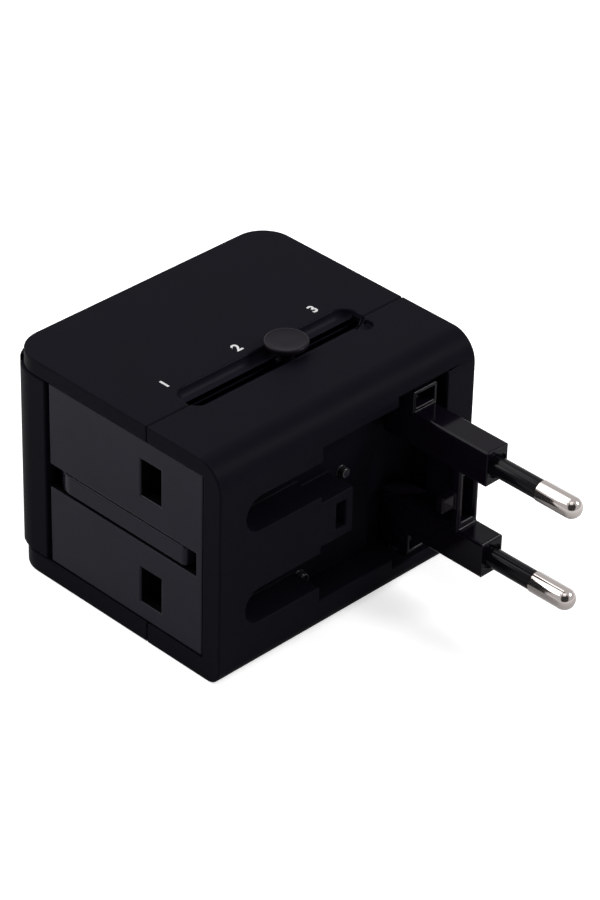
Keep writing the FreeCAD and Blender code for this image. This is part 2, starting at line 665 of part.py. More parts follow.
def side_panel(tag, sign):
    """Plate of a side panel, relieved on its inner face where the pocket walls come near."""
    plate = box(f"{tag}_plate", ("panel_left", "bay_end - panel_gap"),
                both(sign, "panel_in", "panel_out"), ("bay_low + panel_gap", "bay_high - panel_gap"))
    pockets = "thin_wall + slide_clear - pin_slot_y" if sign < 0 else "pocket_end + thin_wall + slide_clear"
    relief = box(f"{tag}_relief", ("pocket_x - thin_wall - slide_clear", "bay_end + 1"),
                 both(sign, "0", pockets), ("bay_low", "bay_high"))
    return cut(f"{tag}_relieved", plate, relief)


def uk_panel():
    """British face: two pin windows and the slot that stows the earth pin."""
    tub = box("earth_tub", ("panel_left + tub_inset", "earth_slot_end + thin_wall"),
              ("-panel_in - join", "tub_back"),
              ("mid_z - earth_slot_half - thin_wall", "mid_z + earth_slot_half + thin_wall"))
    heel_tub = box("earth_heel_tub", ("panel_left + tub_inset", "heel_far + thin_wall"),
                   ("-panel_in - join", "heel_back + thin_wall"),
                   ("mid_z - earth_slot_half - thin_wall", "mid_z + earth_slot_half + thin_wall"))
    solid = fuse("uk_solid", side_panel("uk", -1), tub, heel_tub)
    tools = [box("earth_slot", ("panel_left - 1", "earth_slot_end"), ("-half_w - 1", "earth_back"),
                 ("mid_z - earth_slot_half", "mid_z + earth_slot_half")),
             box("earth_heel_slot", ("panel_left - 1", "heel_far"), ("-half_w - 1", "heel_back"),
                 ("mid_z - earth_slot_half", "mid_z + earth_slot_half")),
             rod("earth_pivot_hole", ("earth_x", "earth_y", "mid_z - 10"), "z", "20",
                 "earth_pivot_r")]
    for tag, z in (("up", "uk_up"), ("down", "uk_down")):
        tools.append(box(f"uk_window_{tag}", ("uk_row_x - uk_thin / 2 - window_clear",
                                              "uk_row_x + uk_thin / 2 + window_clear"),
                         ("-half_w - 1", "-panel_in + 1"),
                         (f"{z} - uk_wide / 2 - window_clear", f"{z} + uk_wide / 2 + window_clear")))
    return node("uk_panel", cut("uk_panel_cut", solid, *tools))


def us_panel():
    """American and Australian face: two round holes, so that a blade can be turned."""
    tools = [rod(f"us_hole_{tag}", ("uk_row_x", "panel_in - 1", z), "y", "panel_thick + 3", "us_hole_r")
             for tag, z in (("up", "us_up"), ("down", "us_down"))]
    return node("us_panel", cut("us_panel_cut", side_panel("us", 1), *tools))


# ---------------------------------------------------------------- slider
def slide_carriage():
    """Carries both British pins on one side and both flat blades on the other."""
    core = box("carriage_core", ("carriage_low_x", "carriage_high_x"), ("core_front", "core_back"),
               ("carriage_low_z", "carriage_high_z"))
    parts = [core]
    tools = []
    for tag, z in (("up", "uk_up"), ("down", "uk_down")):
        parts.append(box(f"carrier_{tag}", ("uk_row_x - uk_thin / 2 - carrier_wall",
                                            "uk_row_x + uk_thin / 2 + carrier_wall"),
                         ("uk_seat", "core_front + 1"),
                         (f"{z} - uk_wide / 2 - carrier_wall", f"{z} + uk_wide / 2 + carrier_wall")))
        tools.append(box(f"carrier_pocket_{tag}", ("uk_row_x - uk_thin / 2 + uk_core_step",
                                                   "uk_row_x + uk_thin / 2 - uk_core_step"),
                         ("uk_seat - 1", "uk_seat + uk_rooted"),
                         (f"{z} - uk_wide / 2 + uk_core_step", f"{z} + uk_wide / 2 - uk_core_step")))
    for tag, z in (("up", "us_up"), ("down", "us_down")):
        tools.append(rod(f"shank_bore_{tag}", ("uk_row_x", "core_back - us_shank_deep - shank_room", z), "y",
                         "us_shank_deep + 1", "us_shank_r + turn_clear"))
    parts.append(box("tang_boss", ("slit_x - tang_wide / 2 - carrier_wall",
                                   "slit_x + tang_wide / 2 + carrier_wall"),
                     ("knob_y - tang_long / 2 - carrier_wall", "knob_y + tang_long / 2 + carrier_wall"),
                     ("carriage_high_z - 1", "bay_high - tang_boss_gap")))
    parts.append(box("carriage_keel", ("uk_row_x - rail_groove / 2 + slide_clear / 2",
                                       "uk_row_x + rail_groove / 2 - slide_clear / 2"),
                     ("core_front", "core_back"),
                     ("keel_low", "carriage_low_z + 1")))
    tools.append(box("tang_socket", ("slit_x - tang_wide / 2", "slit_x + tang_wide / 2"),
                     ("knob_y - tang_long / 2", "knob_y + tang_long / 2"),
                     ("bay_high - tang_boss_gap - tang_deep", "bay_high")))
    return node("slide_carriage", cut("carriage_cut", fuse("carriage_solid", *parts), *tools))


def slide_knob():
    """Round knob with a stem that fills the slot and a tang that snaps into the carriage."""
    low = "case_height + knob_lift"
    disc = rod("knob_disc_blank", ("slot_x", "knob_y", low), "z", "knob_thick", "knob_r")
    soft = rounded("knob_disc", disc, [(at_place(z=number(low) + size("knob_thick")),
                                        size("knob_round")),
                                       (at_place(z=number(low)), size("knob_round") / 2)])
    stem = rod("knob_stem", ("slot_x", "knob_y", "case_height - slot_deep + stem_gap"), "z",
               "slot_deep - stem_gap + knob_lift + join", "stem_r")
    tang = box("knob_tang", ("slit_x - tang_wide / 2", "slit_x + tang_wide / 2"),
               ("knob_y - tang_long / 2", "knob_y + tang_long / 2"),
               ("bay_high - tang_boss_gap - tang_deep", "tang_top"))
    return node("slide_knob", fuse("knob_solid", soft, stem, tang))


def uk_pin(label, z):
    """A flat British pin: bare end, then a thinner core that its sleeve and the carriage hold."""
    low = number("uk_tip")
    bare = box(label + "_bare", ("uk_row_x - uk_thin / 2", "uk_row_x + uk_thin / 2"),
               ("uk_tip", "uk_tip + uk_bare"), (f"{z} - uk_wide / 2", f"{z} + uk_wide / 2"))
    tip = bevelled(label + "_tip", bare, at_place(y=low), size("pin_chamfer"))
    core = box(label + "_core", ("uk_row_x - uk_thin / 2 + uk_core_step",
                                 "uk_row_x + uk_thin / 2 - uk_core_step"),
               ("uk_tip + uk_bare - 1", "uk_seat + uk_rooted"),
               (f"{z} - uk_wide / 2 + uk_core_step", f"{z} + uk_wide / 2 - uk_core_step"))
    return node(label, fuse(label + "_solid", tip, core))


def uk_sleeve(label, z):
    """Black sleeve on the rear half of a British pin."""
    blank = box(label + "_blank", ("uk_row_x - uk_thin / 2", "uk_row_x + uk_thin / 2"),
                ("uk_tip + uk_bare", "uk_seat"), (f"{z} - uk_wide / 2", f"{z} + uk_wide / 2"))
    hole = box(label + "_hole", ("uk_row_x - uk_thin / 2 + uk_core_step",
                                 "uk_row_x + uk_thin / 2 - uk_core_step"),
               ("uk_tip", "uk_seat + 1"),
               (f"{z} - uk_wide / 2 + uk_core_step", f"{z} + uk_wide / 2 - uk_core_step"))
    return node(label, cut(label + "_cut", blank, hole))


def us_blade(label, z):
    """A flat blade on a round shank, so that it can be turned for the Australian layout."""
    blank = box(label + "_blank", ("uk_row_x - us_wide / 2", "uk_row_x + us_wide / 2"),
                ("core_back + slide_clear", "us_tip"), (f"{z} - us_thick / 2", f"{z} + us_thick / 2"))
    blade = bevelled(label + "_flat", blank, along("z", y=number("us_tip")), size("pin_chamfer"))
    collar = rod(label + "_collar", ("uk_row_x", "core_back + slide_clear", z), "y",
                 "us_collar_thick", "us_collar_r")
    shank = rod(label + "_shank", ("uk_row_x", "core_back - us_shank_deep", z), "y",
                "us_shank_deep + slide_clear + us_collar_thick / 2", "us_shank_r")
    return node(label, fuse(label + "_solid", blade, collar, shank))


def wiper(label, z):
    """Bowed strip on the carriage that wipes along its bus strip."""
    near, far = "frame_far + bus_thick + slide_clear / 2", "carriage_low_x"
    middle = "(core_front + core_back) / 2"
    outline = [(far, f"{middle} - wiper_long / 2"),
               (f"{near}", f"{middle} - wiper_long / 5"),
               (f"{near}", f"{middle} + wiper_long / 5"),
               (far, f"{middle} + wiper_long / 2"),
               (far, f"{middle} + wiper_long / 2 - wiper_foot"),
               (f"{near} + wiper_thick", f"{middle} + wiper_long / 5 - wiper_turn"),
               (f"{near} + wiper_thick", f"{middle} - wiper_long / 5 + wiper_turn"),
               (far, f"{middle} - wiper_long / 2 + wiper_foot")]
    return node(label, sketched(label, "XY_Plane", outline, "wiper_wide",
                                f"{z} - wiper_wide / 2"))


# ---------------------------------------------------------------- earth pin
def uk_earth_pin():
    """Flat bar that swings out of its slot; its heel is round about the upright pivot."""
    bar = box("earth_bar_blank", ("earth_x - earth_heel", "earth_x + earth_length"),
              ("earth_y - earth_wide + earth_inner", "earth_y + earth_inner"),
              ("mid_z - earth_thick / 2", "mid_z + earth_thick / 2"))
    heel = number("earth_x - earth_heel")
    tip = number("earth_x + earth_length")
    face = number("earth_y - earth_wide + earth_inner")
    back = number("earth_y + earth_inner")
    knuckle = number("earth_heel") - size("round_short")
    bar = rounded("earth_bar", bar, [(along("z", x=heel, y=face), knuckle),
                                     (along("z", x=heel, y=back), size("earth_heel_round")),
                                     (along("z", x=tip), size("earth_end_round"))])
    hole = rod("earth_bar_hole", ("earth_x", "earth_y", "mid_z - 10"), "z", "20",
               "earth_pivot_r + turn_clear")
    return node("uk_earth_pin", cut("earth_bar_cut", bar, hole))


def earth_pivot():
    return node("earth_pivot", rod("earth_pivot_wire", ("earth_x", "earth_y",
                "mid_z - earth_slot_half - thin_wall"), "z",
                "2 * (earth_slot_half + thin_wall)", "earth_pivot_r"))


# ---------------------------------------------------------------- European plug
def euro_plug_body():
    """Two arms joined by a bridge, with a hollow knuckle above and below on the fold pins."""
    parts = []
    tools = []
    for tag, z, sign in (("up", "euro_up", "+"), ("down", "euro_down", "-")):
        inner = f"{z} {sign} arm_high / 2"
        outer = f"mid_z {sign} (pocket_half - knuckle_gap)"
        parts.append(box(f"arm_{tag}", ("hinge_x - arm_heel", "arm_end"), ("arm_near", "arm_far"),
                         (f"{z} - arm_high / 2", f"{z} + arm_high / 2")))
        span = (f"{inner} - join", outer) if sign == "+" else (outer, f"{inner} + join")
        parts.append(box(f"knuckle_{tag}", ("hinge_x - arm_heel", "hinge_x + knuckle_reach"),
                         ("arm_near", "arm_far + knuckle_extra"), span))
        span = ((f"{inner} + knuckle_floor", f"{outer} - knuckle_hollow") if sign == "+"
                else (f"{outer} + knuckle_hollow", f"{inner} - knuckle_floor"))
        tools.append(box(f"knuckle_hollow_{tag}", ("hinge_x + hinge_r + knuckle_hollow",
                                                   "hinge_x + knuckle_reach + 1"),
                         ("arm_near + knuckle_hollow",
                          "arm_far + knuckle_extra - knuckle_hollow"), span))
        tools.append(rod(f"fold_bore_{tag}", ("hinge_x", "hinge_y",
                         inner if sign == "+" else "mid_z - pocket_half"), "z",
                         f"pocket_half - (euro_pitch + arm_high) / 2", "hinge_r + turn_clear"))
        tools.append(rod(f"pin_bore_{tag}", ("arm_end - euro_rooted", "euro_y", z), "x",
                         "euro_rooted + 1", "euro_core_r"))
        ring = rod(f"sleeve_ring_{tag}", ("arm_end - sleeve_seat", "euro_y", z), "x",
                   "sleeve_seat + 1", "euro_sleeve_r + sleeve_room")
        filled = rod(f"sleeve_place_{tag}", ("arm_end - sleeve_seat - 1", "euro_y", z), "x",
                     "sleeve_seat + 3", "euro_sleeve_r")
        tools.append(cut(f"sleeve_ring_cut_{tag}", ring, filled))
    low, high = "euro_down + arm_high / 2 - join", "euro_up - arm_high / 2 + join"
    parts.append(box("bridge_plate", ("bridge_x - bridge_thick", "bridge_x"),
                     ("arm_near", "arm_far"), (low, high)))
    parts.append(box("bridge_web", ("hinge_x + knuckle_reach", "bridge_x - web_step"),
                     ("arm_far - bridge_web", "arm_far"), (low, high)))
    parts.append(box("latch", ("bridge_x - latch_back - latch_thick", "bridge_x - latch_back"),
                     ("arm_near - latch_reach", "arm_near + join"),
                     ("mid_z - latch_half", "mid_z + latch_half")))
    tools.append(box("bridge_window", ("bridge_x - bridge_thick - 1", "bridge_x + 1"),
                     ("arm_near + bridge_rim", "arm_far - bridge_rim"),
                     (f"{low} + bridge_rim + join", f"{high} - bridge_rim - join")))
    return node("euro_plug_body", cut("euro_body_cut", fuse("euro_body_solid", *parts), *tools))


def euro_pin(label, z):
    """Round pin: a core in the arm and sleeve, a full shoulder and a domed end."""
    blank = rod(label + "_bare", ("euro_shoulder", "euro_y", z), "x", "euro_bare", "euro_r")
    bare = rounded(label + "_dome", blank, [(at_place(x=number("euro_tip")), size("euro_dome"))])
    core = rod(label + "_core", ("arm_end - euro_rooted", "euro_y", z), "x",
               "euro_rooted + euro_reach - euro_bare + 1", "euro_core_r")
    return node(label, fuse(label + "_solid", bare, core))


def euro_sleeve(label, z):
    tube = rod(label + "_tube", ("arm_end", "euro_y", z), "x", "euro_reach - euro_bare",
               "euro_sleeve_r")
    hole = rod(label + "_hole", ("arm_end - 1", "euro_y", z), "x", "euro_reach - euro_bare + 2",
               "euro_core_r")
    return node(label, cut(label + "_cut", tube, hole))


def fold_pins():
    """Two short fold pins, one in the roof and one in the floor."""
    length = "hinge_seat + pocket_half - (euro_pitch + arm_high) / 2 - fold_gap"
    upper = rod("fold_pin_up", ("hinge_x", "hinge_y", "euro_up + arm_high / 2 + fold_gap"), "z",
                length, "hinge_r")
    lower = rod("fold_pin_down", ("hinge_x", "hinge_y", "mid_z - pocket_half - hinge_seat"), "z",
                length, "hinge_r")
    pair = fresh("Part::Compound", "fold_pin_pair")
    pair.Links = [upper, lower]
    return node("fold_pins", pair)


# ---------------------------------------------------------------- inside
def inner_frame():
    """Upright plate that carries the bus strips on one side and the sockets on the other."""
    plate = box("frame_plate", ("frame_x", "frame_far"), ("-post_in", "post_in"),
                ("bay_low", "bay_high"))
    tools = [rod(f"rivet_hole_{tag}", ("frame_x - 1", y, z), "x", "frame_thick + 2", "rivet_r")
             for tag, y, z in RIVETS]
    tools += [box(f"boss_notch_{up}{side}", ("frame_x - 1", "frame_far + 1"),
                  (f"{y} - boss_r - hole_clear", f"{y} + boss_r + hole_clear"),
                  (f"{z} - boss_r - hole_clear", f"{z} + boss_r + hole_clear"))
              for up, z in SCREW_HEIGHTS for side, y in SCREW_SIDES]
    tools.append(box("frame_earth_notch", ("frame_x - 1", "frame_far + 1"),
                     ("-post_in - 1", "earth_back + thin_wall + slide_clear"),
                     ("mid_z - earth_slot_half - thin_wall - slide_clear",
                      "mid_z + earth_slot_half + thin_wall + slide_clear")))
    return node("inner_frame", cut("inner_frame_cut", plate, *tools))


RIVETS = (("line", "-socket_spread", "line_bus_z"), ("neutral", "-socket_spread", "neutral_bus_z"))


def bus(label, z):
    return node(label, box(label + "_strip", ("frame_far", "frame_far + bus_thick"),
                           ("-bus_half", "bus_half"), (f"{z} - bus_high / 2", f"{z} + bus_high / 2")))


def bus_rivets():
    """Rivets that join the contact strips to the bus strips through the inner frame."""
    pair = fresh("Part::Compound", "rivet_pair")
    pair.Links = [rod(f"rivet_{tag}", ("frame_x", y, z), "x", "frame_thick", "rivet_r")
                  for tag, y, z in RIVETS]
    return node("bus_rivets", pair)


def socket_contact(label, sign):
    """Spring contact: a back on the inner frame and two leaves that grip a plug's pin."""
    back, mouth = "frame_x", "frame_x - leaf_long"
    low, high = "socket_z - leaf_gap / 2", "socket_z + leaf_gap / 2"
    outline = [(back, f"{low} - strip_thick"), (back, f"{high} + strip_thick"),
               (mouth, f"{high} + strip_thick"), (mouth, high),
               (f"{back} - strip_thick", high), (f"{back} - strip_thick", low),
               (mouth, low), (mouth, f"{low} - strip_thick")]
    middle = "socket_spread" if sign > 0 else "-socket_spread"
    return node(label, sketched(label, "XZ_Plane", outline, "leaf_wide",
                                f"-({middle}) - leaf_wide / 2"))


def fuse_set():
    """Cartridge fuse along Y, its two end caps and the two clips on the inner frame."""
    tube = rod("fuse_tube", ("fuse_x", "-fuse_long / 2 + fuse_cap_long", "mid_z"), "y",
               "fuse_long - 2 * fuse_cap_long", "fuse_r - fuse_cap_step")
    node("fuse_body", tube)
    caps = fresh("Part::Compound", "fuse_cap_pair")
    caps.Links = [rod("fuse_cap_uk", ("fuse_x", "-fuse_long / 2", "mid_z"), "y", "fuse_cap_long",
                      "fuse_r"),
                  rod("fuse_cap_us", ("fuse_x", "fuse_long / 2 - fuse_cap_long", "mid_z"), "y",
                      "fuse_cap_long", "fuse_r")]
    node("fuse_caps", caps)
    for label, sign in (("fuse_clip_in", 1), ("fuse_clip_out", -1)):
        low, high = both(sign, "clip_near", "clip_far")
        block = box(label + "_block", ("fuse_x - clip_reach", "frame_x"), (low, high),
                    ("mid_z - fuse_r - strip_thick", "mid_z + fuse_r + strip_thick"))
        inner = box(label + "_inner", ("fuse_x - clip_reach - 1", "frame_x - strip_thick"),
                    (f"{low} - 1", f"{high} + 1"),
                    ("mid_z - fuse_r - clip_clear", "mid_z + fuse_r + clip_clear"))
        node(label, cut(label + "_cut", block, inner))


def links():
    """Flat strips that lead from the line socket through the fuse to the bus."""
    node("link_in", box("link_in_strip", ("frame_x - strip_thick", "frame_x"),
                        ("clip_near", "clip_far"),
                        ("socket_z + leaf_gap / 2 + strip_thick", "mid_z - fuse_r - strip_thick")))
    node("link_out", box("link_out_strip", ("frame_x - strip_thick", "frame_x"),
                         ("-clip_far", "-clip_near"),
                         ("mid_z + fuse_r + strip_thick", "line_bus_z + bus_high / 2")))


def indicator():
    """A small lens in the cap and the lamp behind it."""
    lens = rod("lens_rod", ("cap_face - lens_proud", "lamp_y", "mid_z + lamp_rise"), "x",
               "cap_wall + lens_proud", "lens_r")
    flange = rod("lens_flange", ("cap_back", "lamp_y", "mid_z + lamp_rise"), "x", "lens_flange",
                 "lens_r + lens_flange")
    node("indicator_lens", fuse("lens_solid", lens, flange))
    node("indicator_lamp", rod("lamp_rod", ("cap_back + lens_flange", "lamp_y", "mid_z + lamp_rise"), "x",
                               "lamp_long", "lamp_r"))


def slide_rail():
    """Grooved rail on the floor that keeps the carriage straight."""
    bar = box("rail_bar", ("uk_row_x - rail_wide / 2", "uk_row_x + rail_wide / 2"),
              ("-rail_half", "rail_half"), ("bay_low", "carriage_low_z - slide_clear"))
    groove = box("rail_groove_tool", ("uk_row_x - rail_groove / 2", "uk_row_x + rail_groove / 2"),
                 ("-rail_half - 1", "rail_half + 1"),
                 ("keel_low - slide_clear", "carriage_low_z + 1"))
    return node("slide_rail", cut("rail_cut", bar, groove))


def case_screws():
    """Four screws along X that pull the two shells together."""
    group = fresh("Part::Compound", "screw_group")
    made = []
    for up, z in SCREW_HEIGHTS:
        for side, y in SCREW_SIDES:
            key = f"{up}{side}"
            head = rod(f"screw_head_{key}", ("seam_x - screw_before - screw_head", y, z), "x",
                       "screw_head", "screw_head_r")
            shank = rod(f"screw_shank_{key}", ("seam_x - screw_before - join", y, z), "x",
                        "screw_long + join", "screw_r")
            made.append(fuse(f"screw_{key}", head, shank))
    group.Links = made
    return node("case_screws", group)


# ---------------------------------------------------------------- build, check and write
socket_shell()
plug_shell()
socket_cap()
uk_panel()
us_panel()
slide_carriage()
slide_knob()
uk_pin("uk_line_pin", "uk_up")
uk_pin("uk_neutral_pin", "uk_down")
uk_sleeve("uk_line_sleeve", "uk_up")
uk_sleeve("uk_neutral_sleeve", "uk_down")
us_blade("us_line_blade", "us_up")
us_blade("us_neutral_blade", "us_down")
wiper("line_wiper", "line_bus_z")
wiper("neutral_wiper", "neutral_bus_z")
uk_earth_pin()
earth_pivot()
euro_plug_body()
euro_pin("euro_line_pin", "euro_up")
euro_pin("euro_neutral_pin", "euro_down")
euro_sleeve("euro_line_sleeve", "euro_up")
euro_sleeve("euro_neutral_sleeve", "euro_down")
fold_pins()
inner_frame()
bus("line_bus", "line_bus_z")
bus("neutral_bus", "neutral_bus_z")
bus_rivets()
socket_contact("line_contact", 1)
socket_contact("neutral_contact", -1)
fuse_set()
links()
indicator()
slide_rail()
case_screws()

doc.recompute()
for thing in doc.Objects:
    if "Invalid" in thing.State or "Error" in thing.State:
        raise RuntimeError(f"{thing.Label} failed: {thing.State}")
os.makedirs("parts", exist_ok=True)
for thing in NODES:
    shape = thing.Shape
    if shape.isNull() or not shape.isValid():
        raise RuntimeError(f"{thing.Label} has no valid shape")
    shape.exportStep(f"parts/{thing.Label}.step")
    edge = shape.BoundBox
    print(f"{thing.Label:20s} solids {len(shape.Solids)}  volume {shape.Volume:9.1f}  "
          f"x {edge.XMin:7.2f} {edge.XMax:7.2f}  y {edge.YMin:7.2f} {edge.YMax:7.2f}  "
          f"z {edge.ZMin:6.2f} {edge.ZMax:6.2f}")
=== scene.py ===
# %% [markdown]
# # Universal travel adapter
# A black block that fits four kinds of outlet. A slider on top pushes flat pins out of one side
# or the other, a round-pin plug folds out of the front, and an earth pin swings out of a slot.
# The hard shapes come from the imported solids, which are loaded here as a fixed frame. This
# script gives them rounded edges, turned and printed pieces, finishes, light and a camera.

# %% Load the frame
import json
import math

import bmesh
import bpy
import numpy as np
from mathutils import Matrix, Vector
from mathutils.kdtree import KDTree


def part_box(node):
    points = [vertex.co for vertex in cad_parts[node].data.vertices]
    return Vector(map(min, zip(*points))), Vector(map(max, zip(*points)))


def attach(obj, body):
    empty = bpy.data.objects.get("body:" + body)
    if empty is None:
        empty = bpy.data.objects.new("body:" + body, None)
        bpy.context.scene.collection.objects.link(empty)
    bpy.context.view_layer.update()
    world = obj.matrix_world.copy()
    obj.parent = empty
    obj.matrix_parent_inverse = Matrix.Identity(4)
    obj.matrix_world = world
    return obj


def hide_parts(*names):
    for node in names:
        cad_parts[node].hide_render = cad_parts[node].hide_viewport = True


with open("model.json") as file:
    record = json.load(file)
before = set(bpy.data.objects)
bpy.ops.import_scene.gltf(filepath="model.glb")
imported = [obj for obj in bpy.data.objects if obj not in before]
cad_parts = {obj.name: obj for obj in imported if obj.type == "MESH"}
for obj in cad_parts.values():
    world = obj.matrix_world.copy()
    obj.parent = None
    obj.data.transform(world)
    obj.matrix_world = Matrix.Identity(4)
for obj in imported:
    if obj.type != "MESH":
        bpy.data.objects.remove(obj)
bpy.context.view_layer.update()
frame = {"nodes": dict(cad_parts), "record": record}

MM = 0.001
NODES = frame["nodes"]
BODY_OF = {node: body for body, nodes in frame["record"]["behaviour"]["bodies"].items()
           for node in nodes}
SLOT_OF = {row["node"]: row["material_slot"] for row in frame["record"]["subparts"]}

# %% [markdown]
# ## Plastic
# The case is moulded in black plastic with a very fine spark-eroded grain, the side panels are a
# little smoother, and the plug and its sleeves are polished. All of them are one recipe: a dark
# colour, a fine noise that tilts the surface for the grain, and a slower noise that changes how
# rough it is, as handling and moulding flow do. One function builds it, because only the numbers
# differ. The patterns read Object coordinates, so they stay still on the piece. The first cells
# have short helpers that each put one node into a node tree and set or join its inputs.

# %% A new material and its patterns
NOISE_LOW, NOISE_HIGH = 0.15, 0.85      # nearly all of a noise lies between them


def new_material(name):
    """A node material whose output and Principled shader are already joined."""
    material = bpy.data.materials.new(name)
    material.use_nodes = True
    nodes, links = material.node_tree.nodes, material.node_tree.links
    shader = nodes["Principled BSDF"]
    return material, nodes, links, shader


def noise(nodes, links, coordinates, size, detail=3.0, rough=0.5):
    """A noise texture whose lumps are about `size` metres across."""
    texture = nodes.new("ShaderNodeTexNoise")
    texture.inputs["Scale"].default_value = 1.0 / size
    texture.inputs["Detail"].default_value = detail
    texture.inputs["Roughness"].default_value = rough
    links.new(coordinates, texture.inputs["Vector"])
    return texture


def remap(nodes, links, value, start, stop, low=0.0, high=1.0, curve="LINEAR"):
    """Turns a value that goes from start to stop into one that goes from low to high."""
    ramp = nodes.new("ShaderNodeMapRange")
    ramp.interpolation_type = curve
    limits = {"From Min": start, "From Max": stop, "To Min": low, "To Max": high}
    for socket, number in limits.items():
        ramp.inputs[socket].default_value = number
    links.new(value, ramp.inputs["Value"])
    return ramp.outputs["Result"]


def spread(nodes, links, value, low, high):
    """Stretches the middle of a noise to low..high, and leaves out its rare ends."""
    return remap(nodes, links, value, NOISE_LOW, NOISE_HIGH, low, high)


# %% Patterns joined to the shader
def bumped(nodes, links, shader, height, depth):
    """Tilts the shader's surface by a height pattern that is `depth` metres deep."""
    bump = nodes.new("ShaderNodeBump")
    bump.inputs["Distance"].default_value = depth
    links.new(height, bump.inputs["Height"])
    links.new(bump.outputs["Normal"], shader.inputs["Normal"])


def toned(nodes, links, shader, factor, colour, darkest, lightest):
    """Varies the shader's colour between two tones of itself."""
    tint = nodes.new("ShaderNodeMix")
    tint.data_type = "RGBA"
    tint.inputs["A"].default_value = (*[c * darkest for c in colour], 1)
    tint.inputs["B"].default_value = (*[c * lightest for c in colour], 1)
    links.new(factor, tint.inputs["Factor"])
    links.new(tint.outputs["Result"], shader.inputs["Base Color"])


# %% The plastic recipe
PATCH = 0.012      # metres across a patch that is a little duller or brighter


def plastic(name, colour, rough, shine, grain, depth, drift=0.05):
    """Moulded plastic: base colour, roughness, specular level, and grain size and depth.

    `drift` is how far the roughness strays from its middle, from patch to patch.
    """
    material, nodes, links, shader = new_material(name)
    shader.inputs["Specular IOR Level"].default_value = shine
    place = nodes.new("ShaderNodeTexCoord").outputs["Object"]
    fine = noise(nodes, links, place, grain)
    slow = noise(nodes, links, place, PATCH, rough=0.6)
    bumped(nodes, links, shader, fine.outputs["Fac"], depth)
    links.new(spread(nodes, links, slow.outputs["Fac"], rough - drift, rough + drift),
              shader.inputs["Roughness"])
    toned(nodes, links, shader, spread(nodes, links, slow.outputs["Fac"], 0.0, 1.0), colour,
          darkest=0.86, lightest=1.14)
    return material


# %% The plastics of this adapter
CASE = plastic("case satin black", (0.0045, 0.0041, 0.0069), 0.46, 0.016, 0.00022, 0.000005)
CAP = plastic("cap satin black", (0.0043, 0.0039, 0.0066), 0.46, 0.016, 0.00022, 0.000005)
PANEL = plastic("panel smooth black", (0.0092, 0.0083, 0.0155), 0.22, 0.085, 0.00016, 0.000001)
# painted shade: the walls inside the panel openings get a much darker colour than the panel,
# standing in for the shade there; their duller, rougher grain is the tool's own
PANEL_OPENING_SHADE = plastic("painted shade inside the panel openings", (0.0016, 0.0015, 0.0022), 0.6, 0.02, 0.0003,
                 0.000004)
GLOSS = plastic("plug polished black", (0.0037, 0.0026, 0.0054), 0.10, 0.072, 0.004, 0.000003,
                drift=0.02)
SLEEVE = plastic("sleeve polished black", (0.0032, 0.0028, 0.0044), 0.14, 0.085, 0.004, 0.000003,
                 drift=0.02)
KNOB = plastic("knob dark grey", (0.0071, 0.0055, 0.0085), 0.28, 0.055, 0.00018, 0.000003)
INNER = plastic("inner moulding", (0.020, 0.020, 0.022), 0.5, 0.3, 0.0004, 0.000006)
# painted light: the slot's floor and walls get a lighter colour than the case, to lift the shade
# that falls in the slot
SLOT_PAINTED_LIGHT = plastic("slot painted lighter against its shade", (0.0085, 0.0078, 0.0128), 0.42, 0.024, 0.00022,
                    0.000004)
# the studs' higher gloss is their own polish; their much lighter colour than the case is a painted
# highlight
STUD_HIGHLIGHT = plastic("polished snap stud with painted highlight", (0.020, 0.018, 0.022), 0.25, 0.4, 0.0004, 0.000001)
print("plastics", [m.name for m in (CASE, CAP, PANEL, PANEL_OPENING_SHADE, GLOSS, SLEEVE, KNOB, INNER,
                                    SLOT_PAINTED_LIGHT, STUD_HIGHLIGHT)])

# %% [markdown]
# ## Metal, ceramic, lens and print
# The pins are turned brass with a bright nickel plate, so they are metal with a warm grey colour
# and hardly any roughness, and drawing marks that run along the pin. The contacts are bare
# stamped brass, the screws and pivots zinc-plated steel. The metal recipe is close to the plastic
# one, but its noise can be drawn out along an axis, as wire drawing and grinding leave it. The
# fuse tube is glazed ceramic, the lens red plastic that lets a little light through, and the
# number print a flat white ink, so the plastic recipe does for them.

# %% Metals
SMOOTHEST, ROUGHEST = 0.7, 1.3      # times the metal's own roughness, from mark to mark
ALONG_X, ALONG_Y = (0.05, 1, 1), (1, 0.08, 1)


def metal(name, colour, rough, streak, depth, stretch=(1, 1, 1), solid=1.0):
    """Metal with fine marks; `stretch` under 1 along an axis draws the marks out that way.

    `solid` under 1 gives the plate a thin scattering haze, so that it never mirrors pure black.
    """
    material, nodes, links, shader = new_material(name)
    shader.inputs["Metallic"].default_value = solid
    place = nodes.new("ShaderNodeTexCoord").outputs["Object"]
    drawn = nodes.new("ShaderNodeMapping")
    drawn.inputs["Scale"].default_value = stretch
    links.new(place, drawn.inputs["Vector"])
    marks = noise(nodes, links, drawn.outputs["Vector"], streak, detail=4.0, rough=0.6)
    bumped(nodes, links, shader, marks.outputs["Fac"], depth)
    links.new(spread(nodes, links, marks.outputs["Fac"], rough * SMOOTHEST, rough * ROUGHEST),
              shader.inputs["Roughness"])
    toned(nodes, links, shader, marks.outputs["Fac"], colour, darkest=0.94, lightest=1.04)
    return material


NICKEL = metal("bright nickel plate", (0.41, 0.372, 0.357), 0.09, 0.002, 0.00000005, ALONG_X,
               solid=0.93)
BLADE = metal("nickel plated flat pin", (0.50, 0.47, 0.455), 0.16, 0.00025, 0.0000015, ALONG_Y)
BRASS = metal("stamped brass", (0.78, 0.57, 0.24), 0.24, 0.0004, 0.000002)
STEEL = metal("zinc plated steel", (0.56, 0.57, 0.60), 0.28, 0.0004, 0.000002)
print("metals", [m.name for m in (NICKEL, BLADE, BRASS, STEEL)])

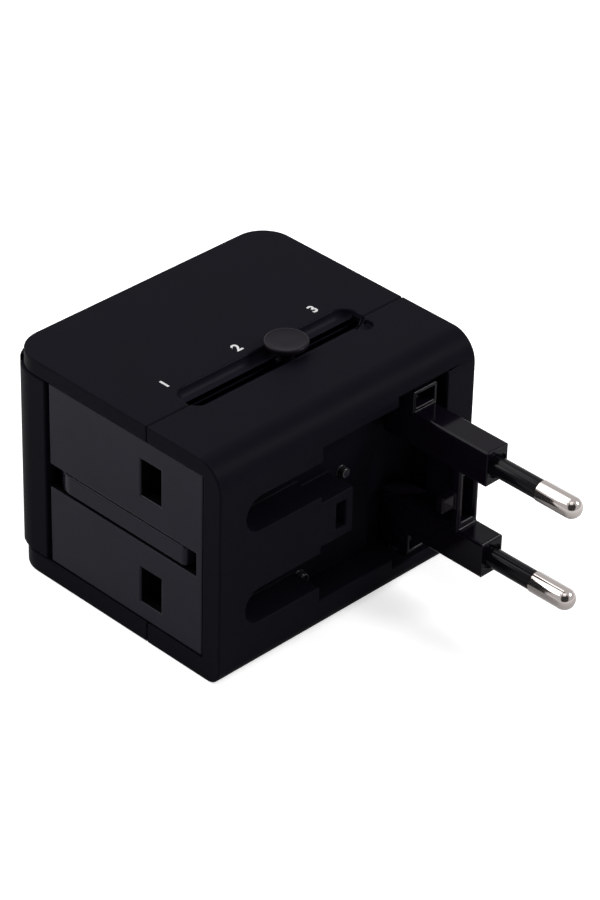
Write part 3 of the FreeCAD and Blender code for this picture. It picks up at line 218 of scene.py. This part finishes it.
# %% Ceramic, lens, lamp and ink
CERAMIC = plastic("fuse ceramic", (0.78, 0.76, 0.70), 0.25, 0.5, 0.0009, 0.000002)
INK = plastic("white number print", (0.58, 0.58, 0.58), 0.55, 0.3, 0.0002, 0.000001, drift=0.04)
LENS = plastic("red lens", (0.16, 0.003, 0.003), 0.16, 0.2, 0.0012, 0.000001, drift=0.02)
LAMP = plastic("lamp glass", (0.85, 0.70, 0.62), 0.08, 0.5, 0.002, 0.000001, drift=0.02)
for clear, weight in ((LENS, 0.25), (LAMP, 0.7)):
    clear.node_tree.nodes["Principled BSDF"].inputs["Transmission Weight"].default_value = weight
print("ceramic, ink, lens and lamp", [m.name for m in (CERAMIC, INK, LENS, LAMP)])

# %% Dress every node
FINISH = {"case_plastic": CASE, "cap_plastic": CAP, "panel_plastic": PANEL,
          "gloss_plastic": GLOSS, "sleeve_plastic": SLEEVE, "knob_plastic": KNOB,
          "inner_plastic": INNER, "nickel": NICKEL, "contact_brass": BRASS, "steel": STEEL,
          "fuse_ceramic": CERAMIC, "lens_red": LENS, "lamp_glass": LAMP}
FLAT_PINS = ("us_line_blade", "us_neutral_blade", "uk_line_pin", "uk_neutral_pin")


def dress(thing, material):
    """Gives a piece one material."""
    thing.data.materials.clear()
    thing.data.materials.append(material)


for node, thing in NODES.items():
    dress(thing, FINISH[SLOT_OF[node]])
for node in FLAT_PINS:
    dress(NODES[node], BLADE)
print("finishes", len(FINISH), "on", len(NODES), "nodes")

# %% [markdown]
# ## Rounded edges
# No moulded edge is sharp: each has a radius of a few tenths of a millimetre, and it is this
# radius that catches the light as a thin bright line. The solids have the right faces but sharp
# edges, so each moulded node gets a merged copy with a Bevel modifier, and that copy stands for
# the node. The loose triangles are welded and the flat ones joined first, so that only real
# edges are rounded. Where two edges run close together, as round a narrow slot, each gets a
# smaller radius through its bevel weight, because two full radii would run into each other.

# %% Room beside an edge
SHARP = math.radians(32)      # an edge that turns more than this is a real one
STEP = 0.25 * MM
PARALLEL = 0.9                # cosine between two edges that run beside each other
LEAST_ROOM, SHARE = 0.05, 0.4


def edge_samples(edge):
    """Points along an edge, about one step apart."""
    start, end = edge.verts[0].co, edge.verts[1].co
    count = max(1, int(edge.calc_length() / STEP))
    return [start.lerp(end, (index + 0.5) / count) for index in range(count)]


def edge_rooms(work, reach):
    """How much of its full radius, `reach`, each sharp edge has room for, up to 1.

    An edge looks sideways for a parallel neighbour. At a distance d, less than twice the radius,
    the two radii would meet, so both are cut to a share of d.
    """
    sharp = [edge for edge in work.edges if edge.is_manifold and edge.calc_face_angle() > SHARP]
    points = [(point, edge) for edge in sharp for point in edge_samples(edge)]
    tree = KDTree(len(points))
    for index, (point, edge) in enumerate(points):
        tree.insert(point, index)
    tree.balance()
    way = {edge: (edge.verts[1].co - edge.verts[0].co).normalized() for edge in sharp}
    rooms = {edge: 1.0 for edge in sharp}
    for point, edge in points:
        for other_point, index, distance in tree.find_range(point, 2 * reach):
            other = points[index][1]
            offset = other_point - point
            sideways = (offset - offset.dot(way[edge]) * way[edge]).length
            beside = sideways >= distance / 2 and abs(way[edge].dot(way[other])) >= PARALLEL
            if beside and other is not edge:
                rooms[edge] = min(rooms[edge], max(LEAST_ROOM, SHARE * sideways / reach))
    return rooms


# %% Soft-edged copies of the moulded nodes
WELD = 0.002 * MM
FLAT = math.radians(0.6)      # faces that turn less than this are one flat face


def placed(name, data):
    """Puts a mesh, text, camera or lamp into the scene as an object at the origin."""
    thing = bpy.data.objects.new(name, data)
    bpy.context.scene.collection.objects.link(thing)
    return thing


def stands_for(thing, node):
    """Puts a piece in a node's place: on its body, and with the node hidden."""
    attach(thing, BODY_OF[node])
    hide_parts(node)


def softened(node, width):
    """Merged copy of a node with rounded edges; `width` is their radius in mm."""
    mesh = NODES[node].data.copy()
    mesh.name = node + "_soft"
    work = bmesh.new()
    work.from_mesh(mesh)
    bmesh.ops.remove_doubles(work, verts=work.verts, dist=WELD)
    bmesh.ops.dissolve_limit(work, angle_limit=FLAT, verts=work.verts, edges=work.edges)
    weight = work.edges.layers.float.new("bevel_weight_edge")
    for edge, room in edge_rooms(work, width * MM).items():
        edge[weight] = room
    work.to_mesh(mesh)
    work.free()
    thing = placed(node + "_soft", mesh)
    mesh.shade_smooth()
    mesh.set_sharp_from_angle(angle=SHARP)
    bevel = thing.modifiers.new("edge radius", "BEVEL")
    bevel.width = width * MM
    bevel.segments = 3
    bevel.limit_method = "WEIGHT"
    bevel.harden_normals = True
    bevel.use_clamp_overlap = False
    flats = thing.modifiers.new("flat faces stay flat", "WEIGHTED_NORMAL")
    flats.keep_sharp = True
    flats.weight = 100      # the largest face at a corner decides its normal
    stands_for(thing, node)
    return thing


EDGE_RADIUS = {"socket_shell": 0.30, "plug_shell": 0.28, "socket_cap": 0.30, "uk_panel": 0.38,
               "us_panel": 0.30, "uk_earth_pin": 0.35, "euro_plug_body": 0.45,
               "us_line_blade": 0.15, "us_neutral_blade": 0.15, "uk_line_pin": 0.15,
               "uk_neutral_pin": 0.15, "uk_line_sleeve": 0.12, "uk_neutral_sleeve": 0.12}
SOFT = {node: softened(node, width) for node, width in EDGE_RADIUS.items()}
for node, thing in SOFT.items():
    dress(thing, NODES[node].data.materials[0])
print("rounded", len(SOFT), "nodes")

# %% [markdown]
# ## Painted shade and light inside one piece
# Parts of one moulding take a second colour. The walls of a panel opening keep the tool's dull
# grain and are painted darker, as painted shade; the studs on which the folded plug snaps are
# polished, and also painted lighter as a painted highlight; and the slider's slot is painted
# lighter, as painted light that lifts the shade in it. These areas end at real edges, so the
# piece's faces are sorted by where they are, and the chosen ones take a second material. The
# centres and normals of all its faces are read at once, as arrays.

# %% Faces as arrays, and a second material for painted light and shade
def face_array(thing, what):
    """One row per face of its centre in mm, or of its normal."""
    rows = np.empty(len(thing.data.polygons) * 3)
    thing.data.polygons.foreach_get(what, rows)
    return rows.reshape(-1, 3) / (MM if what == "center" else 1)


def paint(thing, material, chosen):
    """Adds a material to a piece, and gives it to the faces that `chosen` says True for."""
    polygons = thing.data.polygons
    thing.data.materials.append(material)
    finish = np.empty(len(polygons), np.int32)
    polygons.foreach_get("material_index", finish)
    finish[chosen] = len(thing.data.materials) - 1
    polygons.foreach_set("material_index", finish)
    print(thing.name, material.name, int(chosen.sum()), "faces")


# %% Studs, slot and panel openings
SLOT_MIDDLE, SLOT_HALF, SLOT_DEEP, SLIT_HALF = 7.0, 3.4, 2.0, 0.9     # mm, in x and down
RECESS_FLOOR = 20.2                                 # x of the floor behind the folded plug
STUDS = [(-5.6, 7.7, 1.4), (4.25, 25.7, 0.95)]      # y, z and radius on that floor
SKIN = 0.6                                          # thickness of a side panel's outer skin
MARGIN = 0.05
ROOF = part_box("socket_shell")[1].z


def studs_on_floor(thing):
    """Faces that stand out of the recess floor within a stud's radius of its middle."""
    x, y, z = face_array(thing, "center").T
    near = [np.hypot(y - across, z - up) < radius + MARGIN for across, up, radius in STUDS]
    return (x > RECESS_FLOOR + 2 * MARGIN) & np.any(near, axis=0)


def slot_faces(thing):
    """Faces of the slot's floor and walls, but not the front wall of its through slit."""
    x, _, z = face_array(thing, "center").T
    aside, depth = x - SLOT_MIDDLE, ROOF / MM - z
    upright = np.abs(face_array(thing, "normal")[:, 0]) > 0.9
    slit_front = upright & (aside > 0) & (aside < SLIT_HALF + MARGIN)
    in_slot = (np.abs(aside) < SLOT_HALF) & (depth > 0.02) & (depth < SLOT_DEEP + MARGIN)
    return in_slot & ~slit_front


def behind_skin(thing, node):
    """Faces that lie behind the outer skin of a side panel."""
    low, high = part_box(node)
    outer = (low.y if abs(low.y) > abs(high.y) else high.y) / MM
    return np.abs(face_array(thing, "center")[:, 1] - outer) > SKIN


# painted highlight: the snap studs take the lighter, glossier colour
paint(SOFT["plug_shell"], STUD_HIGHLIGHT, studs_on_floor(SOFT["plug_shell"]))
# painted light: the slot's faces in both shells take the lighter colour
for node in ("plug_shell", "socket_shell"):
    paint(SOFT[node], SLOT_PAINTED_LIGHT, slot_faces(SOFT[node]))
# painted shade: the walls behind each panel's outer skin take the darker colour
for node in ("uk_panel", "us_panel"):
    paint(SOFT[node], PANEL_OPENING_SHADE, behind_skin(SOFT[node], node))

# %% [markdown]
# ## Lap behind the case joint
# Two moulded shells never meet edge to edge: one carries a thin tongue that stands in the joint,
# so that dust and light stay out. The solids leave an open joint of about a tenth of a
# millimetre, and light through it would show as a row of bright dashes. Closing the solids would
# lose the joint line, so four flat bars stand in the joint instead, half a millimetre inside the
# outer faces. One of them goes under the slot, and two pass above the screws.

# %% Closed meshes and bars
SEAM = 0.0005 * MM


def closed_mesh(name, points, faces):
    """Mesh from arrays of points in metres and of four-cornered faces.

    Points that meet at a seam or a pole are welded, and then the faces are turned outwards.
    """
    mesh = bpy.data.meshes.new(name)
    mesh.from_pydata(points.reshape(-1, 3).tolist(), [], faces.reshape(-1, 4).tolist())
    work = bmesh.new()
    work.from_mesh(mesh)
    bmesh.ops.remove_doubles(work, verts=work.verts, dist=SEAM)
    bmesh.ops.recalc_face_normals(work, faces=work.faces)
    work.to_mesh(mesh)
    work.free()
    return mesh


def bars(name, corners):
    """Closed bars as one mesh: each row of `corners` is a low and a high corner in mm.

    A bar is a four-cornered profile in x and z, carried along y from one end to the other, so
    corner (i, j) is (x_j, y_i, z_j), and each end is closed by its own four corners.
    """
    corners = np.array(corners, float)
    x_end, y_end, z_end = [0, 1, 1, 0] * 2, [0] * 4 + [1] * 4, [0, 0, 1, 1] * 2
    points = np.stack([corners[:, x_end, 0], corners[:, y_end, 1], corners[:, z_end, 2]], -1)
    side = np.arange(4)
    sides = np.column_stack([side, side + 4, (side + 1) % 4 + 4, (side + 1) % 4])
    bar = np.vstack([sides, [0, 1, 2, 3], [7, 6, 5, 4]])
    faces = bar + 8 * np.arange(len(corners))[:, None, None]
    return closed_mesh(name, points * MM, faces)


# %% Joint lap
OVER_SCREWS, UNDER_SLOT, BY_FLOOR = (43.2, 44.3), (41.7, 42.6), (0.5, 1.4)     # lowest, highest z
SIDE, SLOT_START, SLOT_STOP = 30.3, -21.3, 21.4                                # y of the ends
OVERLAP = 0.02


def joint_lap(name):
    """Bars that fill the joint of the two shells, and overlap each shell by a hair."""
    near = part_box("socket_shell")[1].x / MM - OVERLAP
    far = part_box("plug_shell")[0].x / MM + OVERLAP
    stations = [(-SIDE, SLOT_START, OVER_SCREWS), (SLOT_START, SLOT_STOP, UNDER_SLOT),
                (SLOT_STOP, SIDE, OVER_SCREWS), (-SIDE, SIDE, BY_FLOOR)]
    thing = placed(name, bars(name, [((near, start, foot), (far, stop, top))
                                     for start, stop, (foot, top) in stations]))
    dress(thing, CASE)
    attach(thing, BODY_OF["socket_shell"])
    return thing


LAP = joint_lap("joint_lap")
print("joint lap", np.round(np.array(LAP.dimensions) / MM, 2), "mm overall")

# %% [markdown]
# ## Turned pieces
# The round pins and the slider's knob are turned shapes: a profile spun round an axis. A Screw
# modifier could spin it, but a lathe function makes the whole surface at once with numpy, as a
# grid of points that is rings along the profile by steps round the axis. So every ring lies
# exactly on its radius, and the dome is a true quarter circle.

# %% The lathe
AROUND = 96                             # steps in one turn
TURNED_SHARP = math.radians(40)


def lathe(name, profile, centre, axis):
    """Spins (along, radius) points round an axis through `centre`, all in mm.

    Point (i, j) lies at centre + along_i * axis + radius_i * (cos t_j * u + sin t_j * v), where
    u and v are square to the axis and t_j goes once round in equal steps.
    """
    along, radius = np.array(profile, float).T * MM
    turn = np.linspace(0, 2 * math.pi, AROUND, endpoint=False)
    axis = np.array(axis, float)
    u = np.array([axis[1], axis[2], axis[0]])
    v = np.cross(axis, u)
    ring = np.cos(turn)[:, None] * u + np.sin(turn)[:, None] * v
    points = (np.array(centre, float) * MM + along[:, None, None] * axis
              + radius[:, None, None] * ring)
    ring_start, step = np.arange(len(profile) - 1)[:, None] * AROUND, np.arange(AROUND)
    first, beside = ring_start + step, ring_start + (step + 1) % AROUND
    quads = np.stack([first, beside, beside + AROUND, first + AROUND], -1)
    mesh = closed_mesh(name, points, quads)
    mesh.shade_smooth()
    mesh.set_sharp_from_angle(angle=TURNED_SHARP)
    return placed(name, mesh)


def arc(centre, radius, start, end, count):
    """Points (along, radius) on a circle arc, angles in degrees from the axis direction."""
    angle = np.radians(np.linspace(start, end, count))
    points = np.column_stack([centre[0] + radius * np.cos(angle),
                              centre[1] + radius * np.sin(angle)])
    return [tuple(point) for point in points]


# %% Round pins and their sleeves
SLEEVE_WALL = 0.25


def measured(node):
    """A node's lowest and highest corner, and the middle between them, in mm."""
    low, high = (np.array(corner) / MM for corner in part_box(node))
    return low, high, (low + high) / 2


def round_pin(node):
    """A round pin: core inside the arm and sleeve, a small shoulder, and a domed end."""
    low, high, middle = measured(node)
    sleeve_low, sleeve_high, _ = measured(node.replace("pin", "sleeve"))
    radius = (high[1] - low[1]) / 2
    core = (sleeve_high[1] - sleeve_low[1]) / 2 - SLEEVE_WALL
    shoulder, tip, dome, lip = sleeve_high[0], high[0], radius - 0.1, 0.15
    profile = [(low[0], 0), (low[0], core), (shoulder, core), (shoulder, radius - lip)]
    profile += arc((shoulder + lip, radius - lip), lip, 180, 90, 5)
    profile += arc((tip - dome, radius - dome), dome, 90, 0, 17)
    profile += [(tip, 0)]
    thing = lathe(node + "_turned", profile, (0, middle[1], middle[2]), (1, 0, 0))
    dress(thing, NICKEL)
    paint(thing, BRASS, face_array(thing, "center")[:, 0] < shoulder + lip / 2)
    return thing


def pin_sleeve(node):
    """A thin tube with a rounded front lip."""
    low, high, middle = measured(node)
    radius = (high[1] - low[1]) / 2
    core, lip = radius - SLEEVE_WALL, 0.12
    profile = [(low[0], core), (low[0], radius), (high[0] - lip, radius)]
    profile += arc((high[0] - lip, radius - lip), lip, 90, 0, 5)
    profile += [(high[0], core), (low[0], core)]
    thing = lathe(node + "_turned", profile, (0, middle[1], middle[2]), (1, 0, 0))
    dress(thing, SLEEVE)
    return thing


for side in ("line", "neutral"):
    for node, make in ((f"euro_{side}_pin", round_pin), (f"euro_{side}_sleeve", pin_sleeve)):
        stands_for(make(node), node)

# %% [markdown]
# ## Slider knob
# The knob is a low disc with a rounded rim and a faintly dished top, on a round stem, with a flat
# tang that goes down to the carriage. The disc and stem are one turned profile. The tang is a
# plain bar below it, as wide and long as the solid's own, and reaches a little into the stem.

# %% Knob
DISC, STEM_DOWN, STEM_RADIUS = 0.9, 3.45, 1.5


def slider_knob(node):
    """Turned disc and stem, with the flat tang measured off the node's own lowest part."""
    low, high, middle = measured(node)
    radius, top = (high[1] - low[1]) / 2, high[2]
    under, stem_foot = top - DISC, top - STEM_DOWN
    rim, lower_rim, land, fall, dish, slope = 0.35, 0.18, 0.15, 0.02, 0.10, 1.1
    profile = [(stem_foot, 0), (stem_foot, STEM_RADIUS), (under, STEM_RADIUS)]
    profile += arc((under + lower_rim, radius - lower_rim), lower_rim, 180, 90, 5)
    profile += arc((top - rim, radius - rim), rim, 90, 0, 9)
    profile += [(top - fall, radius - rim - land), (top - dish, radius - slope),
                (top - dish, radius * 0.4), (top - dish, 0)]
    thing = lathe("slider_knob_turned", profile, (middle[0], middle[1], 0), (0, 0, 1))
    corners = np.empty(len(NODES[node].data.vertices) * 3)
    NODES[node].data.vertices.foreach_get("co", corners)
    corners = corners.reshape(-1, 3) / MM
    tang = corners[corners[:, 2] < stem_foot - 2 * MARGIN]
    tang_low, tang_high = tang.min(0), tang.max(0)
    tang_high[2] = stem_foot + MARGIN
    bar = bars("tang", [(tang_low, tang_high)])
    work = bmesh.new()
    work.from_mesh(thing.data)
    work.from_mesh(bar)
    work.to_mesh(thing.data)
    work.free()
    bpy.data.meshes.remove(bar)
    dress(thing, KNOB)
    stands_for(thing, node)
    print("knob", round(2 * radius, 2), "mm across, tang", (tang_high - tang_low).round(2))


slider_knob("slide_knob")

# %% [markdown]
# ## Position numbers
# White print beside the slot marks the slider's three positions. Here they are the plain numbers
# 1, 2 and 3, and they read from the front, where the round-pin plug folds out. Each is a thin
# layer of ink: text turned into a mesh, and then set down on the roof. A picture of the print
# would do from far off, but ink that is a piece of its own stays crisp close to.

# %% Numbers
PRINT_SIZE, HEAVIER = 3.0 * MM, 0.08 * MM
INK_HALF, INK_LIFT = 0.012 * MM, 0.006 * MM      # half its thickness, and its middle's height
PLACES = {1: (1.0, -19.6), 2: (1.0, -2.6), 3: (0.9, 16.0)}      # x and y of each middle in mm


def printed_number(digit, at):
    """A digit about 2 mm high, lying on the roof, with its foot towards the slot."""
    curve = bpy.data.curves.new(f"number_{digit}", "FONT")
    curve.body = str(digit)
    curve.size = PRINT_SIZE
    curve.align_x = "CENTER"
    curve.align_y = "CENTER"
    curve.offset = HEAVIER
    curve.extrude = INK_HALF
    text = placed(f"number_{digit}_text", curve)
    mesh = bpy.data.meshes.new_from_object(text)
    bpy.data.objects.remove(text)
    mesh.transform(Matrix.Translation(at) @ Matrix.Rotation(math.radians(90), 4, "Z"))
    thing = placed(f"number_{digit}", mesh)
    dress(thing, INK)
    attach(thing, BODY_OF["socket_shell"])
    return thing


NUMBERS = [printed_number(digit, Vector((x * MM, y * MM, ROOF + INK_LIFT)))
           for digit, (x, y) in PLACES.items()]
print("numbers", [thing.name for thing in NUMBERS])

# %% [markdown]
# ## Camera
# A long lens looks at the upright edge between the front and a side panel, from about two thirds
# of a metre away and a little over a third of a right angle up. So three faces show, and the
# upright edges stay nearly parallel, which a short lens from close by wouldn't keep.

# %% Camera
def direction(azimuth, elevation):
    """Unit vector out from the adapter: angles in degrees, azimuth 0 out of its -Y side."""
    a, e = math.radians(azimuth), math.radians(elevation)
    return Vector((math.sin(a) * math.cos(e), -math.cos(a) * math.cos(e), math.sin(e)))


def aim(azimuth, elevation, roll):
    """Camera turn, whose columns are right, up and back, rolled about the view, and back."""
    a, r = math.radians(azimuth), math.radians(roll)
    back = direction(azimuth, elevation)
    right = Vector((math.cos(a), math.sin(a), 0))
    up = back.cross(right)
    rolled_right = math.cos(r) * right + math.sin(r) * up
    rolled_up = -math.sin(r) * right + math.cos(r) * up
    return Matrix((rolled_right, rolled_up, back)).transposed(), back


TURN, BACK = aim(44.52, 33.83, 1.47)
TARGET = Vector((7.96, 6.44, 22.91)) * MM
DISTANCE = 0.644
camera = bpy.data.cameras.new("camera")
camera.lens = 146.3
camera.sensor_width = 36
camera.clip_start = 0.01
camera_object = placed("camera", camera)
camera_object.matrix_world = Matrix.Translation(TARGET + BACK * DISTANCE) @ TURN.to_4x4()
bpy.context.scene.camera = camera_object
bpy.context.scene.view_settings.view_transform = "Standard"
print("camera", round(camera.lens, 1), "mm lens at", DISTANCE, "m")

# %% [markdown]
# ## Floor, light and background
# A plain white sweep: the floor is a large pale sheet that keeps the adapter's soft shadow, and
# the world is white to the camera and to reflections, so that the nickel shows a white studio.
# Only the part of the world behind the camera is a dark room, as in a real studio, and it puts
# the small dark patch on each pin's round end. Four soft lamps shape the black plastic, which
# shows mostly as reflections along its edges.

# %% Arithmetic in nodes
def calculate(nodes, links, operation, *values):
    """A Math node, whose values are numbers or other nodes' outputs."""
    node = nodes.new("ShaderNodeMath")
    node.operation = operation
    for socket, value in zip(node.inputs, values):
        if isinstance(value, bpy.types.NodeSocket):
            links.new(value, socket)
        else:
            socket.default_value = value
    return node.outputs[0]


# %% Floor
PAPER, PAPER_GLOW = (0.80, 0.80, 0.80, 1), 0.60
SHADE_NEAR, SHADE_FAR = 0.03, 0.20      # metres from the floor's middle, where its glow fades in


def flat_floor(reach=3.0):
    """A square sheet at z = 0, white to the camera, darker in reflections near the adapter."""
    mesh = bpy.data.meshes.new("floor")
    corners = [(-reach, -reach, 0), (reach, -reach, 0), (reach, reach, 0), (-reach, reach, 0)]
    mesh.from_pydata(corners, [], [(0, 1, 2, 3)])
    thing = placed("floor", mesh)
    material, nodes, links, shader = new_material("pale floor")
    nodes.remove(shader)
    paper = nodes.new("ShaderNodeBsdfDiffuse")
    paper.inputs["Color"].default_value = PAPER
    far = nodes.new("ShaderNodeVectorMath")
    far.operation = "LENGTH"
    links.new(nodes.new("ShaderNodeTexCoord").outputs["Object"], far.inputs[0])
    fade = remap(nodes, links, far.outputs["Value"], SHADE_NEAR, SHADE_FAR, curve="SMOOTHSTEP")
    ray = nodes.new("ShaderNodeLightPath").outputs
    mirrored = calculate(nodes, links, "MULTIPLY", ray["Is Glossy Ray"], fade)
    seen = calculate(nodes, links, "MAXIMUM", ray["Is Camera Ray"], mirrored)
    glow = nodes.new("ShaderNodeEmission")
    links.new(calculate(nodes, links, "MULTIPLY", seen, PAPER_GLOW), glow.inputs["Strength"])
    both = nodes.new("ShaderNodeAddShader")
    links.new(paper.outputs[0], both.inputs[0])
    links.new(glow.outputs[0], both.inputs[1])
    links.new(both.outputs[0], nodes["Material Output"].inputs["Surface"])
    dress(thing, material)
    return thing


print("floor", np.round(flat_floor().dimensions[:2], 1), "m")

# %% World
WORLD_LIGHT, DARK_ROOM = 0.25, 0.03      # as surfaces meet it, and as reflections do in the room
ROOM_INSIDE, ROOM_EDGE = 0.80, 0.70      # cosines of the angle from the camera's direction


def studio_world():
    """White to the camera and to reflections, dim to the surfaces, dark behind the camera."""
    world = bpy.data.worlds.new("white studio")
    bpy.context.scene.world = world
    world.use_nodes = True
    nodes, links = world.node_tree.nodes, world.node_tree.links
    ray = nodes.new("ShaderNodeLightPath").outputs
    facing = nodes.new("ShaderNodeVectorMath")
    facing.operation = "DOT_PRODUCT"
    facing.inputs[1].default_value = BACK
    looking = nodes.new("ShaderNodeTexCoord").outputs["Object"]      # in a world, the direction
    links.new(looking, facing.inputs[0])
    outside = remap(nodes, links, facing.outputs["Value"], ROOM_INSIDE, ROOM_EDGE)
    straight = calculate(nodes, links, "MAXIMUM", ray["Is Camera Ray"], ray["Is Transmission Ray"])
    mirrored = calculate(nodes, links, "MULTIPLY", ray["Is Glossy Ray"], outside)
    white = calculate(nodes, links, "MAXIMUM", straight, mirrored)
    dim = calculate(nodes, links, "MULTIPLY_ADD", ray["Is Glossy Ray"], DARK_ROOM - WORLD_LIGHT,
                    WORLD_LIGHT)
    lit, shown = nodes["Background"], nodes.new("ShaderNodeBackground")
    for background in (lit, shown):
        background.inputs["Color"].default_value = (1, 1, 1, 1)
    shown.inputs["Strength"].default_value = 1.0
    links.new(dim, lit.inputs["Strength"])
    pick = nodes.new("ShaderNodeMixShader")
    links.new(white, pick.inputs["Fac"])
    links.new(lit.outputs[0], pick.inputs[1])
    links.new(shown.outputs[0], pick.inputs[2])
    links.new(pick.outputs[0], nodes["World Output"].inputs["Surface"])
    return world


print("world", studio_world().name)

# %% Lamps
MIDDLE = Vector((0.01, 0, 0.02))      # about the middle of the adapter, in metres


def soft_lamp(name, azimuth, elevation, distance, size, power):
    """A square lamp of `size` metres and `power` watts that looks at the adapter."""
    back = direction(azimuth, elevation)
    lamp = bpy.data.lights.new(name, "AREA")
    lamp.size = size
    lamp.energy = power
    thing = placed(name, lamp)
    thing.location = MIDDLE + back * distance
    thing.rotation_euler = (-back).to_track_quat("-Z", "Y").to_euler()
    return thing


LAMPS = [soft_lamp("key", -84, 47, 1.1, 0.92, 7.5), soft_lamp("rim", 137, 37, 1.2, 0.36, 8),
         soft_lamp("edge", -46, 36, 1.2, 0.4, 3), soft_lamp("top", 44, 72, 1.1, 0.6, 2)]
print("lamps", [(lamp.name, lamp.data.energy) for lamp in LAMPS])
